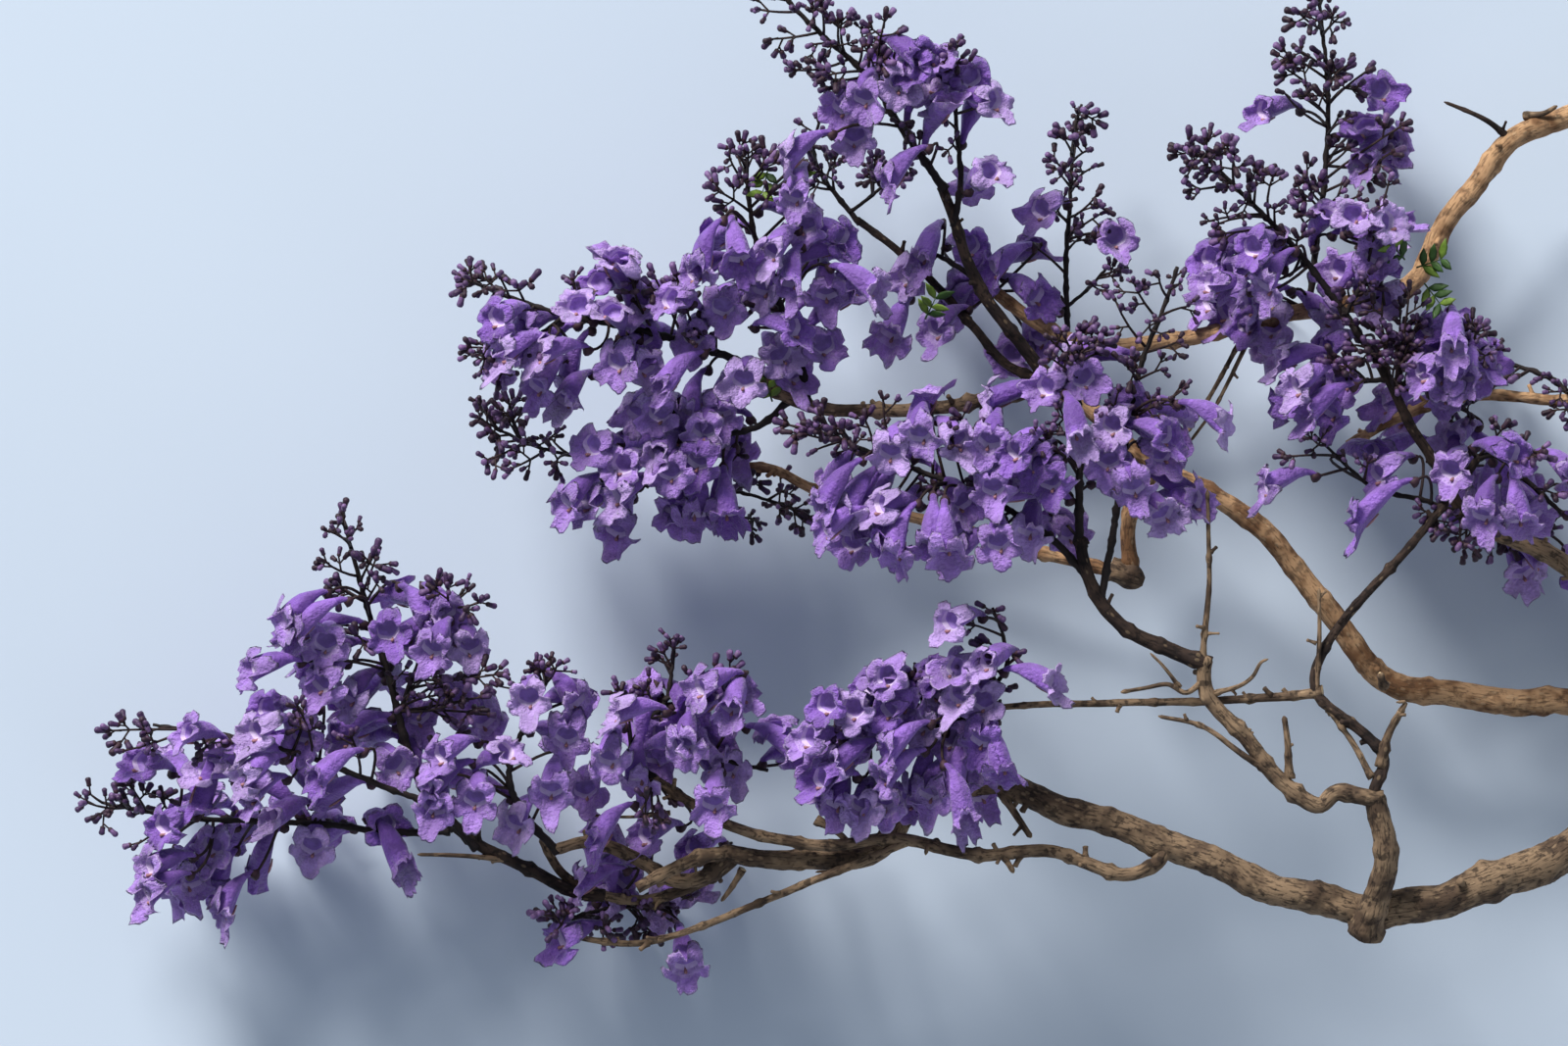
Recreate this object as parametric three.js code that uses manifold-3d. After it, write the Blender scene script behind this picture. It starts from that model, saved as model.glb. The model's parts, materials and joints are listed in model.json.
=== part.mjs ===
import * as THREE from 'three';
import { mergeVertices } from 'three/addons/utils/BufferGeometryUtils.js';
import Module from 'manifold-3d';

// A cut flowering jacaranda branch, lying on the ground, in millimetres.
// X runs along the branch to its sawn end, Y across it, Z up from the ground.
// Places are measured from the middle of the flowering part.

const wasm = await Module();
wasm.setup();

// Gaps between neighbouring pieces
const JOINT_GAP = 0.3;
const PIECE_GAP = 0.8;
const GROUND_GAP = 0.5;

// Sizes of one open flower
const FLOWER_LENGTH = 43;
const TUBE_RADIUS = 1.7;
const BELL_RADIUS = 6.2;
const LOBE_RADIUS = 16.5;
const NOTCH_RADIUS = 10;
const THROAT_DEPTH = 8;
const TUBE_BEND = 4.5;
const LOBES = 5;
const BELL_START = 0.34;
const BELL_END = 0.8;

// Sizes of one closed bud and of the twigs
const BUD_LENGTH = 12;
const BUD_RADIUS = 3.2;
const TWIG_SIDES = 3;
const TWIG_RADIUS = 1.1;
const STEM_SIDES = 3;
const ROOT_SINK = 0.6;

// Rule that sets flowers and buds round a stem
const GOLDEN_TURN = Math.PI * (3 - Math.sqrt(5));
const TRIES = 12;
const OWN_SHARE = 0.94;
const BUD_SHARE = 0.6;
const REACH_LOW = 0.72;
const REACH_RANGE = 0.4;
const BLOOM_TURN = 0.4;
const FLOWER_DROOP = new THREE.Vector3(-0.16, -0.3, 0.34);
const SMALLEST_EDGE = 0.02;

// Colours of bark, stems and blossom, with roughness
const FINISHES = {
  greyBark: { color: 0x7d6b55, roughness: 0.9 },
  goldenBark: { color: 0xa8814f, roughness: 0.85 },
  darkBark: { color: 0x4d3c30, roughness: 0.88 },
  blossom: { color: 0x8f6fd0, roughness: 0.6 },
};

// Limbs: name, finish, sides, first and last diameter, and the line that the limb follows
const LIMBS = [
  ['main_bough', 'greyBark', 8, 28, 17,
    [[590, -133, 15], [570, -133, 16], [535, -125, 30], [475, -135, 62], [400, -167, 90],
      [350, -187, 103], [297, -200, 109]]],
  ['forward_bough', 'greyBark', 7, 17, 9,
    [[304, -199, 109], [250, -186, 109], [195, -163, 105], [150, -148, 100], [100, -132, 95],
      [66, -145, 91], [45, -168, 87], [6, -172, 84], [-32, -168, 81]]],
  ['front_stalk', 'greyBark', 6, 14, 11,
    [[297, -207, 111], [303, -184, 125], [306, -163, 131], [300, -136, 135]]],
  ['centre_limb_lower', 'greyBark', 5, 9, 7.5,
    [[302, -140, 135], [282, -137, 137], [271, -144, 138], [252, -130, 138], [234, -109, 138],
      [216, -88, 138], [213, -67, 139]]],
  ['centre_limb_upper', 'darkBark', 5, 8, 6,
    [[215, -71, 139], [195, -64, 140], [175, -55, 141], [160, -38, 142], [152, -20, 143],
      [150, -6, 144]]],
  ['centre_side_twig', 'greyBark', 3, 3.6, 2,
    [[252, -130, 138], [232, -117, 145], [212, -103, 147], [190, -98, 147]]],
  ['upright_twig', 'greyBark', 3, 3.4, 1.8,
    [[213, -68, 140], [216, -25, 144], [215, 17, 145]]],
  ['right_thin_limb', 'darkBark', 5, 6, 4,
    [[300, -137, 135], [305, -120, 135], [292, -105, 134], [271, -86, 132], [275, -63, 129],
      [300, -32, 122], [328, -1, 113], [355, 35, 102]]],
  ['right_spur', 'greyBark', 4, 5, 3.6, [[304, -122, 135], [307, -108, 138], [313, -96, 139]]],
  ['cross_twig', 'greyBark', 4, 5, 3,
    [[272, -86, 131], [245, -89, 127], [200, -91, 124], [142, -92, 122], [105, -94, 120]]],
  ['lower_limb', 'greyBark', 5, 7.5, 5,
    [[194, -163, 105], [188, -174, 110], [170, -179, 112], [137, -167, 110], [100, -169, 107],
      [57, -161, 102], [15, -164, 97], [-25, -155, 92], [-52, -140, 90], [-70, -128, 88]]],
  ['under_twig', 'greyBark', 4, 4.4, 3,
    [[62, -162, 102], [39, -173, 99], [10, -184, 92], [-30, -201, 82], [-70, -214, 72],
      [-95, -213, 68], [-112, -209, 64]]],
  ['tip_stub', 'greyBark', 5, 8, 6, [[-30, -168, 82], [-42, -170, 86], [-57, -177, 88], [-75, -186, 88]]],
  ['tip_knobbed_limb', 'greyBark', 5, 8.5, 6,
    [[-28, -169, 80], [-42, -181, 76], [-58, -182, 74], [-75, -171, 74], [-97, -163, 74],
      [-118, -167, 74]]],
  ['tip_curved_limb', 'greyBark', 4, 6, 4.5,
    [[-24, -170, 80], [-36, -180, 70], [-52, -188, 64], [-72, -192, 62], [-92, -190, 62],
      [-112, -180, 64], [-124, -160, 68]]],
  ['left_limb', 'darkBark', 5, 7, 5.5,
    [[-94, -190, 62], [-110, -187, 66], [-132, -176, 70], [-155, -164, 73], [-170, -154, 74]]],
  ['left_bare_twig', 'greyBark', 3, 3, 1.8, [[-138, -172, 71], [-160, -170, 78], [-187, -169, 82]]],
  ['middle_limb_outer', 'goldenBark', 6, 15, 12.5,
    [[535, -125, 30], [512, -112, 37], [475, -95, 45], [400, -92, 50], [350, -89, 52],
      [312, -82, 52], [296, -71, 52]]],
  ['middle_limb_inner', 'goldenBark', 6, 12.5, 8,
    [[300, -74, 52], [281, -49, 52], [260, -21, 54], [240, 0, 56], [215, 17, 58], [188, 29, 61],
      [160, 55, 65], [133, 73, 68]]],
  ['elbow_spur', 'goldenBark', 5, 8, 8, [[190, 28, 60], [180, 14, 52], [176, -6, 46], [178, -30, 42]]],
  ['low_limb', 'goldenBark', 5, 7, 4.5,
    [[179, -27, 42], [154, -21, 42], [123, -13, 42], [86, -2, 42], [50, 7, 44], [17, 17, 46],
      [-5, 27, 48], [-28, 29, 50]]],
  ['inner_left_limb', 'greyBark', 5, 7.5, 6,
    [[136, 70, 67], [110, 64, 71], [86, 60, 74], [50, 57, 78], [18, 59, 82], [-2, 66, 86],
      [-14, 78, 90]]],
  ['dark_stem', 'darkBark', 5, 7, 5,
    [[138, 70, 68], [116, 97, 78], [102, 117, 83], [92, 137, 87], [86, 157, 90], [80, 173, 93]]],
  ['back_stem', 'darkBark', 4, 5, 3.6,
    [[134, 72, 66], [112, 82, 56], [97, 100, 51], [80, 119, 48], [55, 142, 46], [36, 156, 44]]],
  ['right_limb', 'greyBark', 6, 11, 9,
    [[492, -103, 42], [460, -69, 60], [425, -43, 70], [398, -21, 76], [372, -8, 81], [347, 2, 86]]],
  ['right_stem', 'darkBark', 5, 6, 4.5,
    [[349, 0, 86], [333, 28, 90], [320, 49, 93], [310, 69, 95], [298, 89, 97]]],
  ['back_limb', 'goldenBark', 5, 7, 5,
    [[508, 45, 38], [480, 62, 37], [450, 67, 36], [400, 63, 35], [350, 65, 34], [315, 54, 34],
      [288, 40, 34]]],
  ['rising_limb', 'goldenBark', 6, 16, 12,
    [[548, -128, 25], [534, -80, 32], [518, -13, 36], [502, 80, 41], [484, 165, 46], [452, 212, 49]]],
  ['upper_limb_outer', 'goldenBark', 6, 12, 10,
    [[456, 208, 49], [430, 219, 50], [400, 208, 50], [372, 195, 51], [350, 169, 51],
      [335, 147, 51], [322, 122, 51]]],
  ['upper_limb_inner', 'goldenBark', 6, 10, 6.5,
    [[325, 127, 51], [308, 114, 51], [283, 111, 52], [261, 108, 52], [226, 99, 54], [190, 92, 57],
      [160, 91, 60], [132, 100, 63], [106, 120, 66]]],
  ['upper_spur', 'darkBark', 3, 4, 1.6, [[373, 195, 51], [358, 206, 58], [337, 215, 61]]],
  ['hanging_twig', 'greyBark', 3, 2.8, 1.8, [[238, 103, 53], [222, 72, 46], [206, 46, 42]]],
];

// Masses: name, seed, then stems of first and last diameter, line, flowers and bud sprays.
// Flowers and sprays each give a number, the first and last share of the stem that they
// stand on, and how far they reach from the stem at those two places. Blooms are single
// flowers, each with the place of its mouth and the way that it faces.
const MASSES = [
  ['left_panicle_upper', 11, [
    { wide: [5, 2], line: [[-168, -155, 74], [-183, -138, 76], [-194, -108, 82], [-201, -80, 86],
      [-209, -55, 88], [-216, -30, 90], [-224, 0, 92]],
    flowers: [10, 0.14, 0.72, 52, 44], sprays: [4, 0.7, 1, 24, 12] },
    { wide: [2.4, 1.6], line: [[-196, -96, 84], [-182, -62, 92], [-163, -34, 96]],
      flowers: [2, 0.3, 0.8, 36, 28], sprays: [2, 0.8, 1, 14, 10] },
  ]],
  ['left_panicle_tip', 12, [
    { wide: [4, 1.6], line: [[-172, -157, 72], [-200, -158, 68], [-232, -154, 64], [-274, -152, 60],
      [-302, -151, 58], [-328, -147, 56], [-348, -143, 56]],
    flowers: [10, 0.1, 0.84, 42, 36], sprays: [2, 0.86, 1, 12, 10] },
  ]],
  ['left_panicle_middle', 13, [
    { wide: [4, 1.6], line: [[-158, -165, 75], [-176, -146, 86], [-205, -134, 92], [-240, -120, 94],
      [-284, -108, 88], [-322, -103, 82]],
    flowers: [8, 0.2, 0.86, 38, 30], sprays: [3, 0.84, 1, 18, 12] },
  ]],
  ['tip_panicle_left', 14, [
    { wide: [4.4, 1.8], line: [[-116, -167, 74], [-130, -152, 80], [-140, -132, 88], [-136, -112, 92],
      [-126, -92, 96], [-118, -74, 98]],
    flowers: [9, 0.1, 0.82, 48, 40], sprays: [3, 0.84, 1, 14, 10] },
  ]],
  ['tip_panicle_right', 15, [
    { wide: [4.4, 1.8], line: [[-67, -130, 88], [-78, -118, 90], [-72, -104, 93], [-60, -90, 96],
      [-56, -64, 98]],
    flowers: [6, 0.1, 0.8, 46, 40], sprays: [3, 0.84, 1, 14, 10] },
    { wide: [3, 1.6], line: [[-74, -110, 92], [-48, -112, 92], [-26, -122, 90], [-8, -126, 90]],
      flowers: [5, 0.3, 0.95, 36, 30], sprays: [0, 0, 0, 0, 0] },
    { wide: [2, 1.4], line: [[-60, -90, 96], [-42, -82, 100], [-26, -74, 102]],
      flowers: [1, 0.5, 0.6, 28, 24], sprays: [2, 0.7, 1, 12, 9] },
  ]],
  ['inner_panicle', 16, [
    { wide: [3.4, 1.8], line: [[108, -94, 120], [90, -100, 121], [66, -106, 122], [42, -104, 120],
      [22, -104, 116]],
    flowers: [9, 0.12, 0.98, 42, 32], sprays: [0, 0, 0, 0, 0] },
    { wide: [2.4, 1.4], line: [[92, -99, 121], [112, -76, 126], [112, -60, 126], [106, -43, 126]],
      flowers: [1, 0.2, 0.3, 28, 28], sprays: [2, 0.6, 1, 14, 8],
      blooms: [[[70, -53, 134], [-0.95, -0.2, 0.25]], [[150, -85, 128], [1, -0.2, 0.1]]] },
  ]],
  ['under_panicle', 17, [
    { wide: [3, 1.6], line: [[-108, -211, 65], [-116, -206, 58], [-102, -200, 48], [-82, -196, 42],
      [-62, -196, 38]],
    flowers: [3, 0.3, 0.9, 28, 26], sprays: [6, 0.1, 1, 22, 20],
    blooms: [[[-50, -232, 30], [0.3, -0.95, -0.1]], [[-114, -222, 34], [-0.3, -0.8, -0.4]]] },
  ]],
  ['upper_left_panicle', 21, [
    { wide: [4.6, 1.8], line: [[-13, 76, 90], [-32, 86, 92], [-72, 98, 95], [-112, 106, 96],
      [-140, 115, 96], [-154, 121, 96]],
    flowers: [10, 0.12, 0.86, 43, 35], sprays: [4, 0.86, 1, 16, 10] },
    { wide: [2, 1.4], line: [[-112, 106, 96], [-130, 92, 100], [-152, 84, 100]],
      flowers: [2, 0.3, 0.6, 30, 26], sprays: [1, 0.8, 1, 14, 10] },
  ]],
  ['upper_left_panicle_low', 22, [
    { wide: [4, 1.8], line: [[2, 62, 84], [-12, 50, 82], [-34, 44, 80], [-56, 40, 78], [-70, 18, 72]],
      flowers: [10, 0.16, 1, 42, 34], sprays: [0, 0, 0, 0, 0] },
    { wide: [2.4, 1.4], line: [[-56, 40, 78], [-90, 34, 74], [-120, 37, 72], [-147, 48, 70]],
      flowers: [2, 0.1, 0.4, 34, 28], sprays: [5, 0.4, 1, 18, 12] },
  ]],
  ['upper_middle_panicle', 23, [
    { wide: [4.4, 1.8], line: [[12, 62, 83], [8, 86, 92], [0, 107, 97], [-8, 124, 100],
      [-15, 146, 102], [-18, 166, 103], [-20, 184, 103]],
    flowers: [9, 0.14, 0.84, 46, 36], sprays: [3, 0.86, 1, 18, 12] },
  ]],
  ['top_panicle_left', 24, [
    { wide: [4.4, 1.8], line: [[81, 171, 93], [72, 184, 96], [58, 204, 99], [42, 228, 102],
      [20, 248, 104], [2, 266, 105], [-10, 288, 105]],
    flowers: [5, 0.06, 0.5, 36, 34], sprays: [7, 0.5, 1, 26, 16],
    blooms: [[[2, 180, 106], [-0.85, -0.4, 0.3]]] },
  ]],
  ['top_panicle_right', 25, [
    { wide: [3.6, 1.6], line: [[87, 153, 90], [90, 176, 98], [88, 200, 103], [86, 236, 106]],
      flowers: [5, 0.2, 0.9, 32, 30], sprays: [2, 0.86, 1, 16, 12],
      blooms: [[[109, 178, 116], [0.1, 0, 1]]] },
  ]],
  ['back_panicle_left', 26, [
    { wide: [3, 1.6], line: [[38, 154, 44], [28, 166, 43], [18, 180, 42], [14, 196, 42]],
      flowers: [1, 0.2, 0.4, 30, 26], sprays: [4, 0.1, 1, 22, 14] },
    { wide: [2, 1.4], line: [[34, 159, 44], [48, 170, 42], [60, 182, 42]],
      flowers: [0, 0, 0, 0, 0], sprays: [2, 0.4, 1, 16, 12] },
  ]],
  ['back_panicle_middle', 27, [
    { wide: [3.6, 1.8], line: [[108, 118, 66], [96, 126, 60], [80, 136, 54], [66, 140, 50]],
      flowers: [5, 0.16, 1, 34, 30], sprays: [0, 0, 0, 0, 0],
      blooms: [[[57, 88, 44], [-0.15, -0.95, 0.1]]] },
  ]],
  ['low_bud_panicle', 28, [
    { wide: [3, 1.4], line: [[-26, 29, 50], [-34, 20, 46], [-30, 6, 42], [-14, -4, 40]],
      flowers: [0, 0, 0, 0, 0], sprays: [4, 0.1, 1, 18, 12] },
    { wide: [2, 1.4], line: [[-33, 18, 46], [-16, 14, 38], [4, 8, 36]],
      flowers: [0, 0, 0, 0, 0], sprays: [2, 0.4, 1, 14, 10] },
  ]],
  ['centre_panicle_middle', 31, [
    { wide: [4.6, 2], line: [[150, -8, 144], [150, 17, 146], [151, 47, 150], [148, 74, 152],
      [147, 92, 152]],
    flowers: [7, 0.14, 0.8, 42, 36], sprays: [3, 0.8, 1, 20, 12] },
  ]],
  ['centre_panicle_left', 32, [
    { wide: [4, 1.8], line: [[156, -30, 142], [136, -8, 142], [108, 10, 142], [70, 26, 140],
      [44, 36, 136], [20, 46, 132]],
    flowers: [11, 0.18, 0.86, 40, 34], sprays: [3, 0.84, 1, 20, 14] },
  ]],
  ['centre_panicle_right', 33, [
    { wide: [4, 1.8], line: [[161, -40, 142], [168, 0, 142], [175, 50, 142], [182, 82, 142],
      [192, 107, 142], [200, 130, 142]],
    flowers: [6, 0.24, 0.7, 38, 32], sprays: [5, 0.62, 1, 20, 12],
    blooms: [[[226, 49, 146], [0.95, -0.25, 0.1]]] },
  ]],
  ['back_spire', 41, [
    { wide: [3, 1.4], line: [[145, 92, 62], [144, 132, 58], [146, 162, 56], [148, 197, 54],
      [152, 214, 54]],
    flowers: [1, 0.3, 0.5, 28, 26], sprays: [5, 0.3, 1, 16, 12],
    blooms: [[[131, 158, 74], [-0.08, 0.02, 1]], [[169, 144, 74], [0.1, -0.05, 1]]] },
    { wide: [2, 1.4], line: [[144, 110, 60], [156, 120, 56], [166, 132, 54]],
      flowers: [0, 0, 0, 0, 0], sprays: [2, 0.3, 1, 14, 10] },
  ]],
  ['top_right_spire', 42, [
    { wide: [3.6, 1.6], line: [[268, 108, 52], [272, 142, 52], [276, 172, 52], [278, 217, 52],
      [275, 252, 52], [272, 280, 52]],
    flowers: [2, 0.5, 0.7, 34, 32], sprays: [7, 0.42, 1, 20, 14],
    blooms: [[[250, 210, 70], [-0.2, 0, 1]], [[302, 216, 70], [0.15, 0.1, 1]],
      [[304, 186, 68], [0.2, -0.1, 1]]] },
  ]],
  ['right_panicle_top', 43, [
    { wide: [4.2, 1.8], line: [[299, 87, 97], [284, 109, 99], [266, 133, 102], [250, 151, 104],
      [231, 170, 106], [209, 192, 107]],
    flowers: [5, 0.1, 0.62, 36, 32], sprays: [7, 0.6, 1, 24, 12] },
    { wide: [2.4, 1.6], line: [[286, 106, 99], [296, 126, 106], [300, 148, 108]],
      flowers: [4, 0.2, 0.9, 30, 26], sprays: [1, 0.8, 1, 14, 12] },
  ]],
  ['right_panicle_inner', 44, [
    { wide: [3, 1.6], line: [[308, 73, 95], [292, 72, 98], [274, 70, 100]],
      flowers: [4, 0.2, 1, 30, 26], sprays: [1, 0.8, 1, 14, 12] },
  ]],
  ['right_panicle_outer', 45, [
    { wide: [3, 1.6], line: [[311, 67, 95], [326, 78, 94], [344, 82, 92], [360, 88, 90]],
      flowers: [5, 0.2, 0.9, 30, 26], sprays: [2, 0.8, 1, 14, 12] },
  ]],
  ['right_edge_panicle', 46, [
    { wide: [3.6, 1.8], line: [[353, 33, 103], [364, 34, 104], [380, 20, 104], [398, 4, 102],
      [416, -6, 100]],
    flowers: [9, 0.1, 0.94, 38, 32], sprays: [2, 0.86, 1, 14, 12] },
  ]],
  ['right_inner_sprig', 47, [
    { wide: [3, 1.4], line: [[346, 4, 88], [324, 12, 96], [302, 17, 100], [290, 26, 102],
      [270, 45, 104]],
    flowers: [1, 0.3, 0.5, 26, 24], sprays: [3, 0.6, 1, 14, 10],
    blooms: [[[302, 26, 118], [-0.85, -0.45, 0.1]], [[297, -7, 112], [-0.7, -0.7, 0]],
      [[244, 14, 106], [-0.95, -0.25, 0.1]]] },
  ]],
  ['back_right_panicle', 48, [
    { wide: [3.4, 1.6], line: [[404, 64, 35], [392, 74, 32], [376, 80, 30], [362, 84, 28]],
      flowers: [1, 0.5, 0.8, 26, 26], sprays: [5, 0.1, 1, 24, 18] },
  ]],
  ['back_low_panicle', 49, [
    { wide: [3, 1.6], line: [[344, 62, 34], [340, 44, 30], [350, 20, 26], [366, 4, 24],
      [392, -4, 24]],
    flowers: [1, 0.1, 0.2, 26, 26], sprays: [5, 0.3, 1, 24, 18] },
  ]],
];

// A stream of even random numbers from 0 to 1, the same for the same seed
function seeded(seed) {
  let state = seed >>> 0;
  return () => {
    state = (state + 0x6d2b79f5) >>> 0;
    let mixed = Math.imul(state ^ (state >>> 15), state | 1);
    mixed ^= mixed + Math.imul(mixed ^ (mixed >>> 7), mixed | 61);
    return ((mixed ^ (mixed >>> 14)) >>> 0) / 4294967296;
  };
}

// Each item has a stream of its own, so that leaving one out changes no other
function streamFor(massSeed, stemIndex, kind, item) {
  return seeded(massSeed * 1000003 + stemIndex * 10007 + kind * 1009 + item * 31 + 7);
}

function vector(values) {
  return new THREE.Vector3(...values);
}

function curveThrough(points) {
  return new THREE.CatmullRomCurve3(points.map(vector), false, 'catmullrom', 0.5);
}

// A closed solid from its corners and its faces
function solidFrom(corners, faces) {
  const vertProperties = new Float32Array(corners.flatMap((p) => [p.x, p.y, p.z]));
  const triVerts = new Uint32Array(faces.flat());
  return new wasm.Manifold(new wasm.Mesh({ numProp: 3, vertProperties, triVerts }));
}

// Two directions square to a third
function crossAxes(along) {
  const side = new THREE.Vector3(0, 0, 1).cross(along);
  if (side.length() < 0.05) side.set(1, 0, 0).cross(along);
  side.normalize();
  return [side, along.clone().cross(side).normalize()];
}

function ringAt(centre, along, radius, sides, turn = 0) {
  const [side, up] = crossAxes(along);
  return Array.from({ length: sides }, (_, k) => {
    const angle = turn + (k / sides) * 2 * Math.PI;
    return centre.clone()
      .addScaledVector(side, Math.cos(angle) * radius)
      .addScaledVector(up, Math.sin(angle) * radius);
  });
}

// Faces between two rings, which may differ in count; a ring of one point is a tip
function bandFaces(firstAt, firstCount, secondAt, secondCount) {
  const faces = [];
  const firstEnd = firstCount > 1 ? firstCount : 0;
  const secondEnd = secondCount > 1 ? secondCount : 0;
  let [i, j] = [0, 0];
  while (i < firstEnd || j < secondEnd) {
    const a = firstAt + (i % firstCount);
    const b = secondAt + (j % secondCount);
    const firstIsNext = (i + 1) / firstCount <= (j + 1) / secondCount;
    if (j >= secondEnd || (i < firstEnd && firstIsNext)) {
      faces.push([a, firstAt + ((i + 1) % firstCount), b]);
      i += 1;
    } else {
      faces.push([a, secondAt + ((j + 1) % secondCount), b]);
      j += 1;
    }
  }
  return faces;
}

// A closed skin over a row of rings, with flat ends where the end ring has sides
function skin(rings) {
  const starts = rings.map((_, ring) => rings.slice(0, ring).flat().length);
  const faces = [];
  for (let ring = 0; ring + 1 < rings.length; ring += 1) {
    faces.push(...bandFaces(starts[ring], rings[ring].length, starts[ring + 1], rings[ring + 1].length));
  }
  const last = starts[rings.length - 1];
  for (let k = 1; k + 1 < rings[0].length; k += 1) faces.push([0, k + 1, k]);
  for (let k = 1; k + 1 < rings.at(-1).length; k += 1) faces.push([last, last + k, last + k + 1]);
  return solidFrom(rings.flat(), faces);
}

// A tapering tube along a curve; swell makes it larger all round and longer at both ends
function tapered(curve, steps, sides, firstWide, lastWide, swell = 0) {
  const rings = [];
  for (let step = 0; step <= steps; step += 1) {
    const share = step / steps;
    const along = curve.getTangent(share);
    const radius = THREE.MathUtils.lerp(firstWide, lastWide, share) / 2 + swell;
    const centre = curve.getPoint(share);
    if (step === 0) centre.addScaledVector(along, -swell);
    if (step === steps) centre.addScaledVector(along, swell);
    rings.push(ringAt(centre, along, radius, sides));
  }
  return skin(rings);
}

// A thin cone from a stem to the foot of a flower
function twig(from, to, radius) {
  const along = to.clone().sub(from).normalize();
  const tip = to.clone().addScaledVector(along, radius);
  return skin([ringAt(from, along, radius, TWIG_SIDES), [tip]]);
}

// The bent middle line of a flower at a share of its length
function flowerAxis(foot, along, sag, share) {
  const bend = Math.sin(share * Math.PI * 0.9) * TUBE_BEND;
  return foot.clone().addScaledVector(along, share * FLOWER_LENGTH).addScaledVector(sag, bend);
}

// A stalk that widens into a bent trumpet, with five lobes round a sunk throat
function flower(root, foot, along, turn) {
  const [side] = crossAxes(along);
  const at = (share) => flowerAxis(foot, along, side, share);
  const lobes = ringAt(at(1), along, LOBE_RADIUS, LOBES * 2, turn);
  const notches = ringAt(at(1), along, NOTCH_RADIUS, LOBES * 2, turn);
  return skin([
    ringAt(root, along, TWIG_RADIUS, TWIG_SIDES, turn),
    ringAt(at(BELL_START), along, TUBE_RADIUS * 1.8, TWIG_SIDES, turn),
    ringAt(at(BELL_END), along, BELL_RADIUS, LOBES, turn),
    lobes.map((point, k) => (k % 2 ? notches[k] : point)),
    [at(1).addScaledVector(along, -THROAT_DEPTH)],
  ]);
}

// A twig that swells into a pointed bud at its tip
function buddedTwig(root, foot, along) {
  const fat = foot.clone().addScaledVector(along, BUD_LENGTH * 0.62);
  const tip = foot.clone().addScaledVector(along, BUD_LENGTH);
  return skin([
    ringAt(root, along, TWIG_RADIUS, TWIG_SIDES),
    ringAt(fat, along, BUD_RADIUS, TWIG_SIDES),
    [tip],
  ]);
}

// Shortest way between two straight stretches
function stretchGap(a, b, c, d) {
  const first = b.clone().sub(a);
  const second = d.clone().sub(c);
  const between = a.clone().sub(c);
  const aa = first.dot(first);
  const ee = second.dot(second);
  const ff = second.dot(between);
  let s = 0;
  let t = 0;
  if (aa > 1e-9 && ee > 1e-9) {
    const cc = first.dot(between);
    const bb = first.dot(second);
    const denominator = aa * ee - bb * bb;
    s = denominator > 1e-9 ? THREE.MathUtils.clamp((bb * ff - cc * ee) / denominator, 0, 1) : 0;
    t = (bb * s + ff) / ee;
    if (t < 0 || t > 1) {
      t = THREE.MathUtils.clamp(t, 0, 1);
      s = THREE.MathUtils.clamp((bb * t - cc) / aa, 0, 1);
    }
  } else if (ee > 1e-9) {
    t = THREE.MathUtils.clamp(ff / ee, 0, 1);
  } else if (aa > 1e-9) {
    s = THREE.MathUtils.clamp(-first.dot(between) / aa, 0, 1);
  }
  const near = a.clone().addScaledVector(first, s);
  return near.distanceTo(c.clone().addScaledVector(second, t));
}

// Rounded stretches that stand for what is already there
const taken = [];

// How far apart two stretches must be; those of one mass may touch where they grow together
function leastGap(part, other) {
  const both = part.radius + other.radius;
  if (part.owner !== other.owner) return both + PIECE_GAP;
  if (part.kind === 'bud' && other.kind === 'bud') return both * BUD_SHARE;
  if (part.kind === 'bloom' || other.kind === 'bloom') return both * OWN_SHARE;
  return 0;
}

function isClear(parts) {
  const above = parts.every((part) => Math.min(part.a.z, part.b.z) - part.radius >= GROUND_GAP);
  return above && parts.every((part) => taken.every((other) => {
    const least = leastGap(part, other);
    return least === 0 || stretchGap(part.a, part.b, other.a, other.b) >= least;
  }));
}

function curveStretches(owner, kind, curve, steps, firstWide, lastWide) {
  return Array.from({ length: steps }, (_, step) => ({
    owner,
    kind,
    a: curve.getPoint(step / steps),
    b: curve.getPoint((step + 1) / steps),
    radius: THREE.MathUtils.lerp(firstWide, lastWide, step / steps) / 2 + 0.4,
  }));
}

function flowerStretches(owner, root, foot, along) {
  const [side] = crossAxes(along);
  const at = (share) => flowerAxis(foot, along, side, share);
  return [
    { owner, kind: 'root', a: root, b: at(0.4), radius: TUBE_RADIUS * 2 },
    { owner, kind: 'bloom', a: at(0.4), b: at(0.85), radius: BELL_RADIUS + 1 },
    { owner, kind: 'bloom', a: at(0.97), b: at(0.97), radius: LOBE_RADIUS + 0.5 },
  ];
}

// Limbs

function growLimb([name, finish, sides, firstWide, lastWide, line]) {
  const curve = curveThrough(line);
  const steps = line.length - 1;
  taken.push(...curveStretches(name, 'limb', curve, steps, firstWide, lastWide));
  return {
    name,
    finish,
    solid: tapered(curve, steps, sides, firstWide, lastWide),
    swollen: tapered(curve, steps, sides, firstWide, lastWide, JOINT_GAP),
  };
}

// Each limb is cut clear of the limbs before it, and only its own length is kept
function largest(solid) {
  const bodies = solid.decompose();
  return bodies.reduce((best, body) => (body.volume() > best.volume() ? body : best));
}

function clearLimbs(limbs) {
  limbs.forEach((limb, index) => {
    limbs.slice(0, index).forEach((earlier) => {
      limb.solid = limb.solid.subtract(earlier.swollen);
    });
    limb.solid = largest(limb.solid);
  });
}

// Masses

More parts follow.
